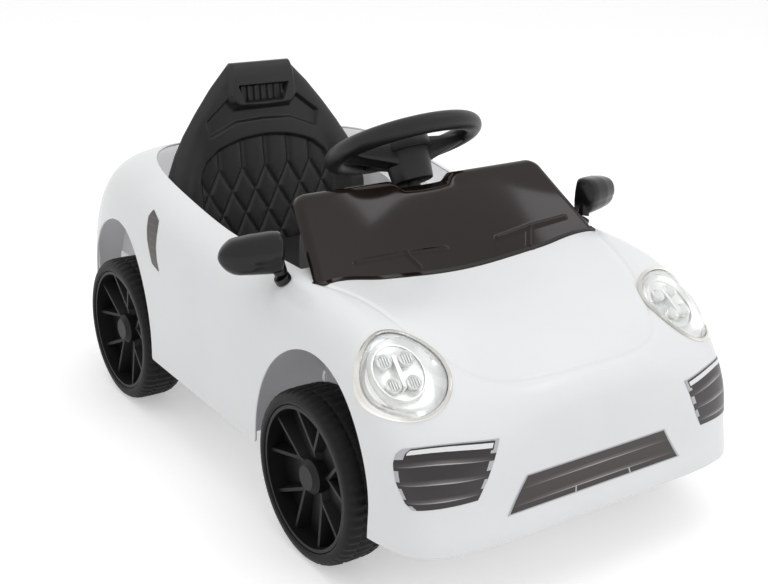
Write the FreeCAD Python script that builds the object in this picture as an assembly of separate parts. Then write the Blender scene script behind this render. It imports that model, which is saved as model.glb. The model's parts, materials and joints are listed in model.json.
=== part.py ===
import FreeCAD, Part
import math
import os
from FreeCAD import Vector as V

# Electric ride-on toy car. Millimetres, +Z up, the nose points to -Y, the driver's left is +X.
# The origin is on the ground, below the middle of the car.

# Running gear
wheel_radius = 100.0
wheel_width = 60.0
wheel_face_x = 257.0
wheelbase = 500.0
rim_radius = 83.0
rim_wall = 4.0
axle_radius = 5.0
hub_radius = 20.0
hub_face = 10.0
spoke_pairs = 5
spoke_width = 8.0
spoke_fork_radius = 30.0
spoke_spread = 18.0
spoke_foot = 4.0
spoke_face = 22.0
tread_notches = 36
tread_notch_width = 5.0
tread_notch_depth = 3.0

# Fits
running_gap = 0.05
clearance = 0.4

# Body shell: plan outline, shoulders and the lines along its top
body_half_width = 255.0
nose_length = 441.0
tail_length = 450.0
shell_wall = 3.0
lip_reach = 9.0
lip_z = 86.0
sill_z = 97.0
nose_squareness = 9.5
tail_squareness = 5.8
shoulder_power = 6.5
tail_power = 4.6
nose_power = 12.0
belt_z = 307.0
tail_rise = 48.0
fender_rise = 12.0
hood_z = 278.0
hood_slope = 0.12
fender_x = 214.0
fender_knee_setback = 127.0
fender_fall = 0.95
opening_half_width = 198.0
opening_front_y = -150.0
opening_mid_y = 100.0
opening_rear_y = 345.0
front_arch_half = 113.0
front_arch_shift = 5.0
front_arch_top_z = 250.0
rear_arch_half = 122.0
rear_arch_shift = 12.0
rear_arch_top_z = 255.0

# Floor pan
pan_wall = 3.0
front_floor_z = 158.0
front_riser_y = -128.0
rear_floor_z = 165.0
rear_riser_y = 140.0
well_margin = 14.0
front_well_x = 150.0
rear_well_x = 187.0

# Windscreen cowl and dashboard
screen_base_y = -206.0
screen_base_z = 299.0
screen_top_y = -109.0
screen_top_z = 374.0
screen_base_half = 210.0
screen_top_half = 184.0
screen_base_dish = 15.0
screen_top_dish = 2.5
screen_dish_radius = 900.0
screen_depth = 8.0
screen_corner = 18.0
screen_round = 12.0
screen_wall = 3.0
scoop_half_width = 87.0
scoop_length = 20.0
scoop_depth = 14.0
dash_half_width = 168.0
dash_face_y = -46.0
dash_top_z = 357.0
dash_low_z = 258.0
dash_wall = 3.0

# Steering
wheel_hub_y = -62.0
wheel_hub_z = 406.0
column_tilt = 30.0
column_radius = 6.0
steering_rim_radius = 88.0
steering_rim_thick = 12.0
crank_reach = 45.0
crank_rise = 28.15
crank_pin_radius = 4.0
steering_swing = 28.0
road_wheel_swing = 20.0
kingpin_x = 172.0
kingpin_radius = 5.0
tie_rod_z = 112.5
collar_radius = 26.0
collar_foot = 32.0
tie_rod_thick = 4.0
tie_pin_radius = 4.0
slot_play = 0.8

# Seat
seat_lean = 8.5
seat_foot_y = 257.0
seat_back_thick = 30.0
seat_top_z = 190.0
seat_front_y = 50.0
seat_half_width = 150.0
seat_wall = 3.5
quilt_pitch = 44.0
quilt_depth = 8.0

# Headlights and mirrors
lamp_x = 198.0
lamp_setback = 85.0
lamp_half_width = 47.0
lamp_half_height = 53.0
lamp_bezel = 7.0
mirror_x = 223.0
mirror_y = -155.0
mirror_peg_radius = 7.0
mirror_half_width = 37.0
mirror_half_height = 26.0
mirror_half_depth = 20.0
mirror_sweep = 17.0
mirror_reach = 34.0
mirror_rise = 39.0

# Drive
output_teeth = 36
output_module = 2.0
idler_small_teeth = 12
idler_big_teeth = 40
input_module = 1.5
pinion_teeth = 10
gear_width = 12.0
gearbox_wall = 3.0
motor_radius = 14.0
motor_length = 46.0

# Cage of the moulded skin
cap_z = 300.0
ring_degrees = [0, 5, 10, 22, 32, 40, 45, 50, 58, 66]
cap_degrees = 73
half_columns = 18
bend_weight = 100.0
lip_low = 16.0
lip_high = 30.0

# Pedal and brackets under the floor
bracket_z = 128.0
axle_bracket_x = (-150.0, 100.0)
pedal_x = -72.0
pedal_y = -52.0
pedal_z = 112.0
pedal_half_width = 30.0
pedal_pin_radius = 3.0
pedal_reach = 64.0
pedal_slope = 38.0
pedal_swing = 10.0
pedal_foot_reach = 40.0
pedal_foot_depth = 22.0

# Switches and buttons
switch_x = (-110.0, 110.0)
switch_z = 320.0
rocker_half = 6.0
rocker_swing = 8.0
button_x = (-15.0, 15.0)
button_radius = 9.0

# Seat outline
seat_outline = [(150, 0), (163, 45), (164, 95), (156, 135), (143, 164), (128, 189), (106, 219), (80, 251),
                (47, 285)]
seat_edge = 6.0
seat_taper = 18.0

# Battery, motor and small parts
reflector_facets = 20
nut_thick = 6.0
gear_x = 164.0
big_gear_x = 141.0
box_x0 = 132.0
box_x1 = 182.0
shaft_radius = 3.0
socket_x = 105.0
socket_z = 150.0
socket_radius = 7.0
battery_size = (100.0, 66.0, 50.0)
battery_x = -58.0
battery_y = 96.0

# Places that follow from the sizes above
front_y = -wheelbase / 2
front_arch_y = front_y + front_arch_shift
rear_y = wheelbase / 2
rear_arch_y = rear_y + rear_arch_shift
hub_z = wheel_radius
fender_knee_y = fender_knee_setback - nose_length
lamp_y = lamp_setback - nose_length
screen_lean = (screen_top_y - screen_base_y) / (screen_top_z - screen_base_z)
screen_slant = math.hypot(1.0, screen_lean)
wheel_x = wheel_face_x - wheel_width / 2
tilt = math.radians(column_tilt)
crank_depth = (wheel_hub_z - tie_rod_z - crank_rise) / math.cos(tilt)
column_up = V(0, math.sin(tilt), math.cos(tilt))
crank_out = V(0, math.cos(tilt), -math.sin(tilt))
wheel_hub = V(0, wheel_hub_y, wheel_hub_z)
rod_travel = crank_reach * math.sin(math.radians(steering_swing))
knuckle_arm = rod_travel / math.sin(math.radians(road_wheel_swing))
tie_rod_y = front_y + knuckle_arm
X = V(1, 0, 0)
Y = V(0, 1, 0)
Z = V(0, 0, 1)
nodes = {}


def box(x0, x1, y0, y1, z0, z1):
    return Part.makeBox(x1 - x0, y1 - y0, z1 - z0, V(x0, y0, z0))


def rod(start, end, radius):
    along = end - start
    return Part.makeCylinder(radius, along.Length, start, along)


def prism(points, push):
    return Part.Face(Part.makePolygon(points + points[:1])).extrude(push)


def side_profile(points, x0, x1):
    return prism([V(x0, y, z) for y, z in points], V(x1 - x0, 0, 0))


def joined(shapes):
    return shapes[0].multiFuse(shapes[1:]).removeSplitter()


def mirrored(shape):
    return shape.mirror(V(0, 0, 0), X)


def both_sides(shape):
    return Part.makeCompound([shape, mirrored(shape)])


def rounded(shape, radius, picks):
    return shape.makeFillet(radius, [e for e in shape.Edges if picks(e)])


def ease(value, low, high):
    share = max(0.0, min(1.0, (value - low) / (high - low)))
    return share * share * (3 - 2 * share)


# Body skin: a smooth closed sheet over a control cage of rings, from the lip up to the cockpit


def plan_radius(theta):
    across = abs(math.cos(theta)) / body_half_width
    ahead = math.sin(theta) < 0
    reach = nose_length if ahead else tail_length
    power = nose_squareness if ahead else tail_squareness
    return (across ** power + (abs(math.sin(theta)) / reach) ** power) ** (-1 / power)


def top_height(x, y):
    past_knee = y - fender_knee_y
    fall = fender_fall * (math.hypot(past_knee, 25.0) - past_knee) / 2
    side = belt_z + tail_rise * ease(y, 0, 270) + fender_rise * ease(-y, -20, 170) - fall
    hood = hood_z + hood_slope * (y - screen_base_y)
    middle = hood + (side - hood) * ease(y, opening_front_y, 0)
    return middle + (side - middle) * min(1.0, (x / fender_x) ** 2)


def edge_power(theta):
    ahead = -math.sin(theta)
    side = shoulder_power + (tail_power - shoulder_power) * ease(-ahead, 0.2, 0.8)
    return side + (nose_power - side) * ease(ahead, 0.90, 0.99)


def skin_point(theta, phi):
    power = edge_power(theta)
    norm = (math.cos(phi) ** power + math.sin(phi) ** power) ** (-1 / power)
    reach = math.cos(phi) * norm * plan_radius(theta)
    x = reach * math.cos(theta)
    y = reach * math.sin(theta)
    z = lip_z + math.sin(phi) * norm * (top_height(x, y) - lip_z)
    lip = lip_reach * ease(-math.sin(theta), 0.3, 0.9) * (1 - ease(z - lip_z, lip_low, lip_high))
    return V(x, y - lip, z)


def inset_point(theta, phi, inset):
    step = 1e-3
    around = skin_point(theta + step, phi) - skin_point(theta - step, phi)
    upward = skin_point(theta, phi + step) - skin_point(theta, max(0, phi - step))
    normal = around.cross(upward)
    normal.normalize()
    return skin_point(theta, phi) - normal * inset


def column_angles():
    # Steps of equal length plus bend, so that the corners get more columns than the straight sides
    fine = 4000
    angles = [math.pi / 2 + math.pi * i / fine for i in range(fine + 1)]
    spots = [V(plan_radius(t) * math.cos(t), plan_radius(t) * math.sin(t), 0) for t in angles]
    steps = [spots[i + 1] - spots[i] for i in range(fine)]
    length = [0.0]
    for i in range(fine):
        bend = steps[i].getAngle(steps[i - 1]) if i else 0.0
        length.append(length[-1] + steps[i].Length + bend_weight * bend)
    half = []
    i = 0
    for k in range(half_columns + 1):
        while i < fine and length[i] < length[-1] * k / half_columns:
            i += 1
        half.append(angles[i])
    return half + [3 * math.pi - t for t in reversed(half[1:-1])]


skin_columns = column_angles()


def skin_rows(inset, drop):
    rows = [[inset_point(t, math.radians(d), inset) for t in skin_columns] for d in ring_degrees]
    cap = [inset_point(t, math.radians(cap_degrees), inset) for t in skin_columns]
    rows[0] = [V(p.x, p.y, lip_z) for p in rows[0]]
    rows.append([V(p.x, p.y, cap_z - inset) for p in cap])
    if drop > 0:
        rows.insert(0, [V(p.x, p.y, lip_z - drop) for p in rows[0]])
    return rows


def skin_solid(inset, drop=0.0):
    rows = skin_rows(inset, drop)
    count = len(skin_columns)
    spans = len(rows) - 3
    poles = [[row[i] for row in rows] for i in range(count)]
    sheet = Part.BSplineSurface()
    sheet.buildFromPolesMultsKnots(
        poles, [1] * (count + 1), [4] + [1] * (spans - 1) + [4],
        [i / count for i in range(count + 1)], [i / spans for i in range(spans + 1)],
        True, False, 3, 3)
    face = sheet.toShape()
    caps = [Part.Face(Part.Wire([e])) for e in face.Edges if e.BoundBox.ZLength < 1e-6]
    shell = Part.makeShell([face] + caps)
    shell.sewShape()
    return Part.makeSolid(shell)


skin_outer = skin_solid(0.0)
skin_inner = skin_solid(shell_wall, 6.0)
skin_fit = skin_solid(shell_wall + clearance, 6.0)


def skin_height(x, y):
    line = Part.makeLine(V(x, y, lip_z), V(x, y, 600.0))
    return max(v.Point.z for v in line.common(skin_outer).Vertexes)


def skin_normal(x, y):
    step = 2.0
    across = V(2 * step, 0, skin_height(x + step, y) - skin_height(x - step, y))
    along = V(0, 2 * step, skin_height(x, y + step) - skin_height(x, y - step))
    normal = across.cross(along)
    normal.normalize()
    return normal


def arch_prism(middle_y, half_width, top_z, low_z, x0, x1):
    spring_z = hub_z + 10.0
    left = V(x0, middle_y - half_width, spring_z)
    right = V(x0, middle_y + half_width, spring_z)
    crown = V(x0, middle_y, top_z)
    oval = Part.Ellipse(crown, right, V(x0, middle_y, spring_z))
    turn = Part.ArcOfEllipse(oval, -math.pi / 2, math.pi / 2).toShape()
    ends = [turn.valueAt(turn.FirstParameter), turn.valueAt(turn.LastParameter)]
    low = [V(x0, p.y, low_z) for p in ends]
    lines = [Part.makeLine(ends[1], low[1]), Part.makeLine(low[1], low[0]), Part.makeLine(low[0], ends[0])]
    return Part.Face(Part.Wire([turn] + lines)).extrude(V(x1 - x0, 0, 0))


def opening_prism(grow, low_z, high_z):
    half = opening_half_width + grow
    reach = opening_rear_y + grow - opening_mid_y
    spots = []
    for k in range(13):
        angle = math.pi / 2 * k / 12
        power = 3.5
        norm = (math.cos(angle) ** power + math.sin(angle) ** power) ** (-1 / power)
        spots.append(V(half * math.cos(angle) * norm, opening_mid_y + reach * math.sin(angle) * norm, low_z))
    back = Part.BSplineCurve()
    back.interpolate(spots + [V(-p.x, p.y, p.z) for p in reversed(spots[:-1])])
    front = opening_front_y - grow
    corners = [V(-half, opening_mid_y, low_z), V(-half, front, low_z), V(half, front, low_z), spots[0]]
    lines = [Part.makeLine(corners[i], corners[i + 1]) for i in range(3)]
    return Part.Face(Part.Wire([back.toShape()] + lines)).extrude(V(0, 0, high_z - low_z))


# Headlights: an oval well square to the skin, with a bezel and a lens that follow the skin
lamp_at = V(lamp_x, lamp_y, skin_height(lamp_x, lamp_y))
lamp_normal = skin_normal(lamp_x, lamp_y)
lamp_side = Z.cross(lamp_normal)
lamp_side.normalize()
lamp_rise = lamp_normal.cross(lamp_side)


def lamp_oval(grow, depth):
    middle = lamp_at + lamp_normal * depth
    top = middle + lamp_rise * (lamp_half_height + grow)
    side = middle + lamp_side * (lamp_half_width + grow)
    return Part.Wire([Part.Ellipse(top, side, middle).toShape()])


def lamp_prism(grow, deep, high):
    return Part.Face(lamp_oval(grow, deep)).extrude(lamp_normal * (high - deep))


def make_body_shell():
    shell = skin_outer.cut(skin_inner)
    sill_front = front_arch_y + front_arch_half - 1.0
    sill_back = rear_arch_y - rear_arch_half + 1.0
    far = 400.0
    cuts = [opening_prism(0.0, cap_z - 60.0, 600.0),
            box(-far, far, sill_front, sill_back, 0.0, sill_z),
            arch_prism(front_arch_y, front_arch_half, front_arch_top_z, 0.0, -far, far),
            arch_prism(rear_arch_y, rear_arch_half, rear_arch_top_z, 0.0, -far, far),
            both_sides(lamp_prism(0.0, -40.0, 40.0)),
            both_sides(rod(mirror_foot - mirror_axis * 20, mirror_foot + mirror_axis * 20,
                           mirror_peg_radius + running_gap))]
    return shell.cut(cuts)


mirror_foot = V(mirror_x, mirror_y, skin_height(mirror_x, mirror_y))
mirror_axis = skin_normal(mirror_x, mirror_y)


def make_headlight():
    grown = skin_solid(-2.5)
    layer = grown.cut(skin_inner)
    rim = lamp_prism(-clearance, -30.0, 30.0).cut(lamp_prism(-lamp_bezel, -30.0, 30.0))
    bezel = rim.common(layer)
    glass_layer = skin_solid(-1.5).cut(skin_solid(1.0))
    lens = lamp_prism(-lamp_bezel - 0.2, -30.0, 30.0).common(glass_layer)
    mouth = lamp_bezel + 0.4
    bowl = lamp_cup(mouth, 0.0, mouth + 12, -30.0).cut(lamp_cup(mouth + 2, 1.0, mouth + 14, -28.0))
    lamps = []
    for side, rise in ((-14, 16), (14, 16), (-14, -16), (14, -16)):
        foot = lamp_at + lamp_normal * -28.5 + lamp_side * side + lamp_rise * rise
        lamps.append(Part.makeCone(9.0, 10.5, 9.0, foot, lamp_normal))
    reflector = joined([bowl] + lamps).common(skin_solid(1.5))
    return bezel, lens, reflector


def lamp_cup(mouth, mouth_depth, foot, foot_depth):
    # A faceted bowl that narrows from its mouth to its foot
    rings = []
    for inset, depth in ((mouth, mouth_depth), (foot, foot_depth)):
        middle = lamp_at + lamp_normal * depth
        spots = []
        for k in range(reflector_facets):
            turn = 2 * math.pi * k / reflector_facets
            side = lamp_side * ((lamp_half_width - inset) * math.cos(turn))
            spots.append(middle + side + lamp_rise * ((lamp_half_height - inset) * math.sin(turn)))
        rings.append(Part.makePolygon(spots + spots[:1]))
    return Part.makeLoft(rings, True, True)


def make_pan():
    wall = pan_wall
    low, mid, high = front_floor_z, sill_z, rear_floor_z
    top = [(-440, low + wall), (front_riser_y, low + wall), (front_riser_y, mid + wall),
           (rear_riser_y, mid + wall), (rear_riser_y, high + wall), (440, high + wall)]
    bottom = [(440, high), (rear_riser_y + wall, high), (rear_riser_y + wall, mid),
              (front_riser_y - wall, mid), (front_riser_y - wall, low), (-440, low)]
    floor = side_profile(top + bottom, -260.0, 260.0)
    wells = []
    arches = ((front_arch_y, front_arch_half, front_arch_top_z, front_well_x, low),
              (rear_arch_y, rear_arch_half, rear_arch_top_z, rear_well_x, high))
    for y, arch_half, arch_z, inner_x, floor_z in arches:
        half = arch_half + well_margin
        crown = arch_z + well_margin
        outer = arch_prism(y, half + wall, crown + wall, sill_z, inner_x - wall, 260.0)
        hollow = arch_prism(y, half, crown, 0.0, inner_x, 300.0)
        under = box(inner_x - wall - 1, inner_x + 1, y - half, y + half, 0.0, floor_z)
        floor = floor.cut([hollow, mirrored(hollow)])
        wells.append(outer.cut([hollow, under]))
    pieces = [floor] + wells + [mirrored(w) for w in wells]
    bracket = box(front_well_x - wall, 185.0, front_y - 22, front_y + 22, bracket_z, low + 22.0)
    pieces += [bracket, mirrored(bracket)]
    for x in axle_bracket_x:
        pieces.append(box(x - 4, x + 4, rear_y - 16, rear_y + 16, hub_z - 14, high + 1))
    pieces.append(rod(floor_bush - column_up * 14, floor_bush + column_up * 16, column_radius + 6))
    for x in pedal_ear_x:
        pieces.append(box(x - 3, x + 3, pedal_y - 9, pedal_y + 9, sill_z + 1, pedal_z + 8))
    pan = joined(pieces)
    bores = [rod(wheel_hub, wheel_hub - column_up * 400, column_radius + running_gap),
             rod(V(-300, rear_y, hub_z), V(300, rear_y, hub_z), axle_radius + running_gap),
             rod(V(pedal_x - 50, pedal_y, pedal_z), V(pedal_x + 50, pedal_y, pedal_z), pedal_pin_radius)]
    for x in (-kingpin_x, kingpin_x):
        bores.append(rod(V(x, front_y, 100), V(x, front_y, 200), kingpin_radius + running_gap))
    return pan.cut(bores).common(skin_fit)


floor_bush = wheel_hub - column_up * ((wheel_hub_z - front_floor_z - pan_wall / 2) / math.cos(tilt))
pedal_ear_x = (pedal_x - pedal_half_width - 4.0, pedal_x + pedal_half_width + 4.0)


def screen_y(z):
    return screen_base_y + screen_lean * (z - screen_base_z)


def dish_rod(grow):
    # A wide rod along the slope that dishes the screen, deeper at its base than at its top
    outward = V(0, -1, screen_lean) * (1 / screen_slant)
    low = V(0, screen_base_y, screen_base_z) - outward * screen_base_dish
    high = V(0, screen_top_y, screen_top_z) - outward * screen_top_dish
    away = X.cross(high - low)
    away.normalize()
    middle = low + away * screen_dish_radius
    return rod(middle + (low - high) * 2, middle + (high - low) * 3, screen_dish_radius + grow)


def screen_block(inset):
    # A wedge with a sloping, dished front and rounded edges: the inset copy hollows it
    draw = (screen_base_half - screen_top_half) / (screen_top_z - screen_base_z)
    top_z = screen_top_z - inset
    sections = []
    for z in (screen_base_z - 35.0, top_z):
        y = screen_y(z) + inset * screen_slant
        half = screen_base_half - draw * (z - screen_base_z) - inset * 1.1
        corners = [V(-half, y, z), V(half, y, z), V(half, dash_face_y, z), V(-half, dash_face_y, z)]
        sections.append(Part.makePolygon(corners + corners[:1]))
    block = Part.makeLoft(sections, True, True)
    block = block.cut(dish_rod(inset))
    block = rounded(block, screen_corner - inset,
                    lambda e: e.BoundBox.ZMin > top_z - 1 and e.BoundBox.XLength < 1)

    def is_front_edge(e):
        spots = [v.Point for v in e.Vertexes]
        high = max(p.z for p in spots) > top_z - screen_corner - 1
        return high and all(p.y < dash_face_y - 1 for p in spots)
    return rounded(block, screen_round - inset, is_front_edge)


def scoop_ball(grow):
    # The hollow round the column: a wide ball that meets the screen in a shallow arc
    ring = (scoop_half_width ** 2 + scoop_length ** 2) / (2 * scoop_length)
    inner = ring - scoop_length
    away = (ring ** 2 - inner ** 2 - scoop_depth ** 2) / (2 * scoop_depth)
    slope = V(0, screen_lean, 1) * (1 / screen_slant)
    outward = V(0, -1, screen_lean) * (1 / screen_slant)
    middle = V(0, screen_top_y, screen_top_z) + slope * inner + outward * away
    return Part.makeSphere(math.hypot(ring, away) + grow, middle)


def behind_screen(depth):
    # Everything farther than this behind the flat of the screen
    back = depth * screen_slant
    low_z, high_z = screen_base_z - 60.0, screen_top_z + 20.0
    side = [(screen_y(low_z) + back, low_z), (screen_y(high_z) + back, high_z),
            (40.0, high_z), (40.0, low_z)]
    return side_profile(side, -300, 300)


def make_screen():
    block = screen_block(0.0)
    scoop = block.common(scoop_ball(screen_wall)).cut(scoop_ball(0.0))
    shell = joined([block.cut(screen_block(screen_wall)).cut(scoop_ball(0.0)), scoop])
    flange = behind_screen(screen_depth).cut([dish_rod(screen_wall), scoop_ball(screen_wall)])
    deepest = behind_screen(screen_base_dish + screen_wall + 2.0)
    collar_way = rod(wheel_hub, wheel_hub - column_up * 80, column_radius + 6.0)
    return shell.cut([flange, deepest, skin_solid(-0.3), collar_way])


def dash_profile(inset, open_front):
    back = (screen_base_dish + screen_wall) * screen_slant + 2.0 + inset - open_front
    top_z = dash_top_z - inset
    seat_z = screen_base_z - 17.0
    top_share = (dash_top_z - screen_base_z) / (screen_top_z - screen_base_z)
    top_back = back - (screen_base_dish - screen_top_dish) * top_share * screen_slant
    face = dash_face_y - inset
    low = dash_low_z + inset
    return [(screen_y(top_z) + top_back, top_z), (face, top_z), (face, low + 26), (face - 22, low),
            (screen_y(seat_z) + back, low), (screen_y(seat_z) + back, seat_z)]


def make_dashboard():
    half = dash_half_width
    block = side_profile(dash_profile(0.0, 0.0), -half, half)
    hollow = side_profile(dash_profile(dash_wall, 60.0), -half + dash_wall, half - dash_wall)
    boss = rod(wheel_hub - column_up * 40, wheel_hub - column_up * 80, column_radius + 6).common(block)
    holes = [rod(wheel_hub, wheel_hub - column_up * 100, column_radius + running_gap),
             rod(wheel_hub - column_up * 90, wheel_hub - column_up * 300, column_radius + 6)]
    for x in switch_x:
        holes.append(box(x - 12, x + 12, dash_face_y - 20, dash_face_y + 20, switch_z - 8.5, switch_z + 8.5))
    hood = skin_solid(-0.3).cut(opening_prism(-clearance, 0.0, 600.0))
    return joined([block.cut(hollow), boss]).cut(holes).cut(hood)


def make_switch(x, lean):
    y = dash_face_y
    frame = box(x - 11.7, x + 11.7, y - 12, y, switch_z - 8.2, switch_z + 8.2)
    flange = box(x - 14, x + 14, y, y + 2, switch_z - 11, switch_z + 11)
    frame = frame.fuse(flange).removeSplitter()
    frame = frame.cut(box(x - 10, x + 10, y - 10, y + 5, switch_z - 7, switch_z + 7))
    pivot = rod(V(x - 11, y - 1, switch_z), V(x + 11, y - 1, switch_z), 1.5 + running_gap)
    rocker = box(x - 9.6, x + 9.6, y - 5, y + 4, switch_z - rocker_half, switch_z + rocker_half)
    trunnion = rod(V(x - 11, y - 1, switch_z), V(x + 11, y - 1, switch_z), 1.5)
    rocker = rocker.fuse(trunnion).removeSplitter()
    rocker.rotate(V(x, y - 1, switch_z), X, lean)
    return frame.cut(pivot), rocker


def make_steering_wheel():
    turns = [2 * math.pi * k / 12 for k in range(12)]
    ring = [V(steering_rim_radius, 0, 0) + V(math.cos(t), 0, math.sin(t)) * steering_rim_thick for t in turns]
    rim = Part.Face(Part.makePolygon(ring + ring[:1])).revolve(V(0, 0, 0), Z, 360)
    hub = Part.makeCone(34.0, 30.0, 24.0, V(0, 0, -12), Z)
    spokes = []
    for angle, half in ((0, 16.0), (180, 16.0), (90, 13.0)):
        inner, outer = 10.0, steering_rim_radius
        foot_z = 3.0 - collar_foot
        side = [V(inner, -half, 4.0), V(inner, -half, foot_z), V(collar_radius - 2.0, -half, foot_z),
                V(outer, -half, 3.0 - steering_rim_thick), V(outer, -half, 0)]
        wedge = prism(side, V(0, 2 * half, 0))
        wedge.rotate(V(0, 0, 0), Z, angle)
        spokes.append(wedge)
    collar = Part.makeCone(collar_radius - 4.0, collar_radius, collar_foot, V(0, 0, -collar_foot), Z)
    wheel = joined([rim, hub, collar] + spokes)
    wells = [rod(V(x, 0, 4), V(x, 0, 14), button_radius + 0.3) for x in button_x]
    socket = rod(V(0, 0, -collar_foot - 1), V(0, 0, 2), column_radius)
    wheel = wheel.cut(wells + [socket])
    return place_on_column(wheel)


def place_on_column(shape):
    shape.Placement = FreeCAD.Placement(wheel_hub, FreeCAD.Rotation(X, -column_tilt))
    return shape


def make_button(x):
    cap = rod(V(x, 0, 8), V(x, 0, 15), button_radius)
    return place_on_column(cap.makeChamfer(1.5, [e for e in cap.Edges if e.BoundBox.ZMin > 14.9]))


def make_column():
    stem = rod(wheel_hub + column_up * 2, wheel_hub - column_up * (crank_depth + 2.5), column_radius)
    foot = wheel_hub - column_up * crank_depth
    end = foot + crank_out * crank_reach
    half = column_up * 2.5
    plate = [foot + X * 11, end + X * 8, end - X * 8, foot - X * 11]
    web = prism([p - half for p in plate], half * 2)
    eyes = [rod(foot - half, foot + half, 11.0), rod(end - half, end + half, 8.0)]
    pin = rod(end, end - column_up * 15, crank_pin_radius)
    return joined([stem, web, pin] + eyes)


def make_tie_rod():
    low, high = tie_rod_z, tie_rod_z + tie_rod_thick
    give = knuckle_arm * (1 - math.cos(math.radians(road_wheel_swing)))
    slot = tie_pin_radius + slot_play
    bar = box(-kingpin_x, kingpin_x, tie_rod_y - 8, tie_rod_y + 8, low, high)
    parts = [bar]
    holes = []
    for x in (-kingpin_x, kingpin_x):
        parts.append(box(x - 10, x + 10, tie_rod_y - give - 11, tie_rod_y + 11, low, high))
        holes.append(box(x - slot, x + slot, tie_rod_y - give - slot, tie_rod_y + slot, low - 1, high + 1))
    drop = 9.0
    foot = wheel_hub - column_up * (crank_depth + drop)
    swing_back = crank_reach * (1 - math.cos(math.radians(steering_swing)))
    half = column_up * 2.0
    start = (tie_rod_y + 2.0 - foot.y) / crank_out.y
    end = crank_reach + crank_pin_radius + slot_play + 6
    tab = [foot + crank_out * start - X * 14, foot + crank_out * end - X * 14,
           foot + crank_out * end + X * 14, foot + crank_out * start + X * 14]
    parts.append(prism([p - half for p in tab], half * 2))
    wide = crank_pin_radius + slot_play
    near = crank_reach - swing_back - wide
    far = crank_reach + wide
    gap = [foot + crank_out * near - X * wide, foot + crank_out * far - X * wide,
           foot + crank_out * far + X * wide, foot + crank_out * near + X * wide]
    holes.append(prism([p - half * 3 for p in gap], half * 6))
    return joined(parts).cut(holes)


def make_knuckle():
    x = kingpin_x
    boss_top = bracket_z - clearance
    boss = rod(V(x, front_y, hub_z - 11), V(x, front_y, boss_top), 11.0)
    pin = rod(V(x, front_y, hub_z), V(x, front_y, front_floor_z + 30.0), kingpin_radius)
    stub = rod(V(x, front_y, hub_z), V(nut_x + 8.0, front_y, hub_z), axle_radius)
    shoulder = rod(V(x, front_y, hub_z), V(hub_back_x - clearance, front_y, hub_z), 9.0)
    arm_low, arm_high = tie_rod_z - 4.5, tie_rod_z - 0.5
    arm = prism([V(x - 9, front_y, arm_low), V(x + 9, front_y, arm_low),
                 V(x + 7, tie_rod_y, arm_low), V(x - 7, tie_rod_y, arm_low)], V(0, 0, arm_high - arm_low))
    eye = rod(V(x, tie_rod_y, arm_low), V(x, tie_rod_y, arm_high), 9.0)
    tie_pin = rod(V(x, tie_rod_y, arm_low), V(x, tie_rod_y, tie_rod_z + tie_rod_thick + 4), tie_pin_radius)
    return joined([boss, pin, stub, shoulder, arm, eye, tie_pin])


hub_back_x = wheel_x - wheel_width / 2
nut_x = wheel_x + hub_face


def make_nut(x, y):
    spots = [V(x, y + 9 * math.cos(math.pi / 3 * k), hub_z + 9 * math.sin(math.pi / 3 * k)) for k in range(6)]
    return prism(spots, V(nut_thick, 0, 0)).cut(rod(V(x - 1, y, hub_z), V(x + 20, y, hub_z), axle_radius))


def make_tyre():
    half = wheel_width / 2
    bead = rim_radius + 0.02
    side = [V(-half + 1, bead, 0), V(-half, rim_radius + 6, 0), V(-half + 3, wheel_radius - 5, 0),
            V(-half + 10, wheel_radius, 0)]
    channel = [V(-half + 8, wheel_radius - 7, 0), V(-half + 8, bead, 0)]
    far_side = [V(-p.x, p.y, 0) for p in reversed(side)]
    far_channel = [V(-p.x, p.y, 0) for p in reversed(channel)]
    profile = side + far_side + far_channel + channel
    ring = Part.Face(Part.makePolygon(profile + profile[:1])).revolve(V(0, 0, 0), X, 360)
    notches = []
    for k in range(tread_notches):
        for side in (-1, 1):
            notch = box(-9, 9, -tread_notch_width / 2, tread_notch_width / 2, 0, 20)
            notch.translate(V(side * (half - 2), 0, wheel_radius - tread_notch_depth - 4))
            turn = 360.0 / tread_notches * (k + (0.5 if side > 0 else 0.0))
            notch.rotate(V(0, 0, 0), X, turn)
            notches.append(notch)
    return ring.cut(Part.makeCompound(notches))


def spoke_blade(root, tip, root_face, tip_face):
    # A blade that is wide at its foot and narrow at its ridge
    side = X.cross(tip - root)
    side.normalize()
    rings = []
    for spot, face in ((root, root_face), (tip, tip_face)):
        wide, ridge = side * spoke_width * 0.7, side * spoke_width * 0.25
        low, high = spot + X * spoke_foot, spot + X * face
        corners = [low - wide, low + wide, high + ridge, high - ridge]
        rings.append(Part.makePolygon(corners + corners[:1]))
    return Part.makeLoft(rings, True, True)


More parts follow.
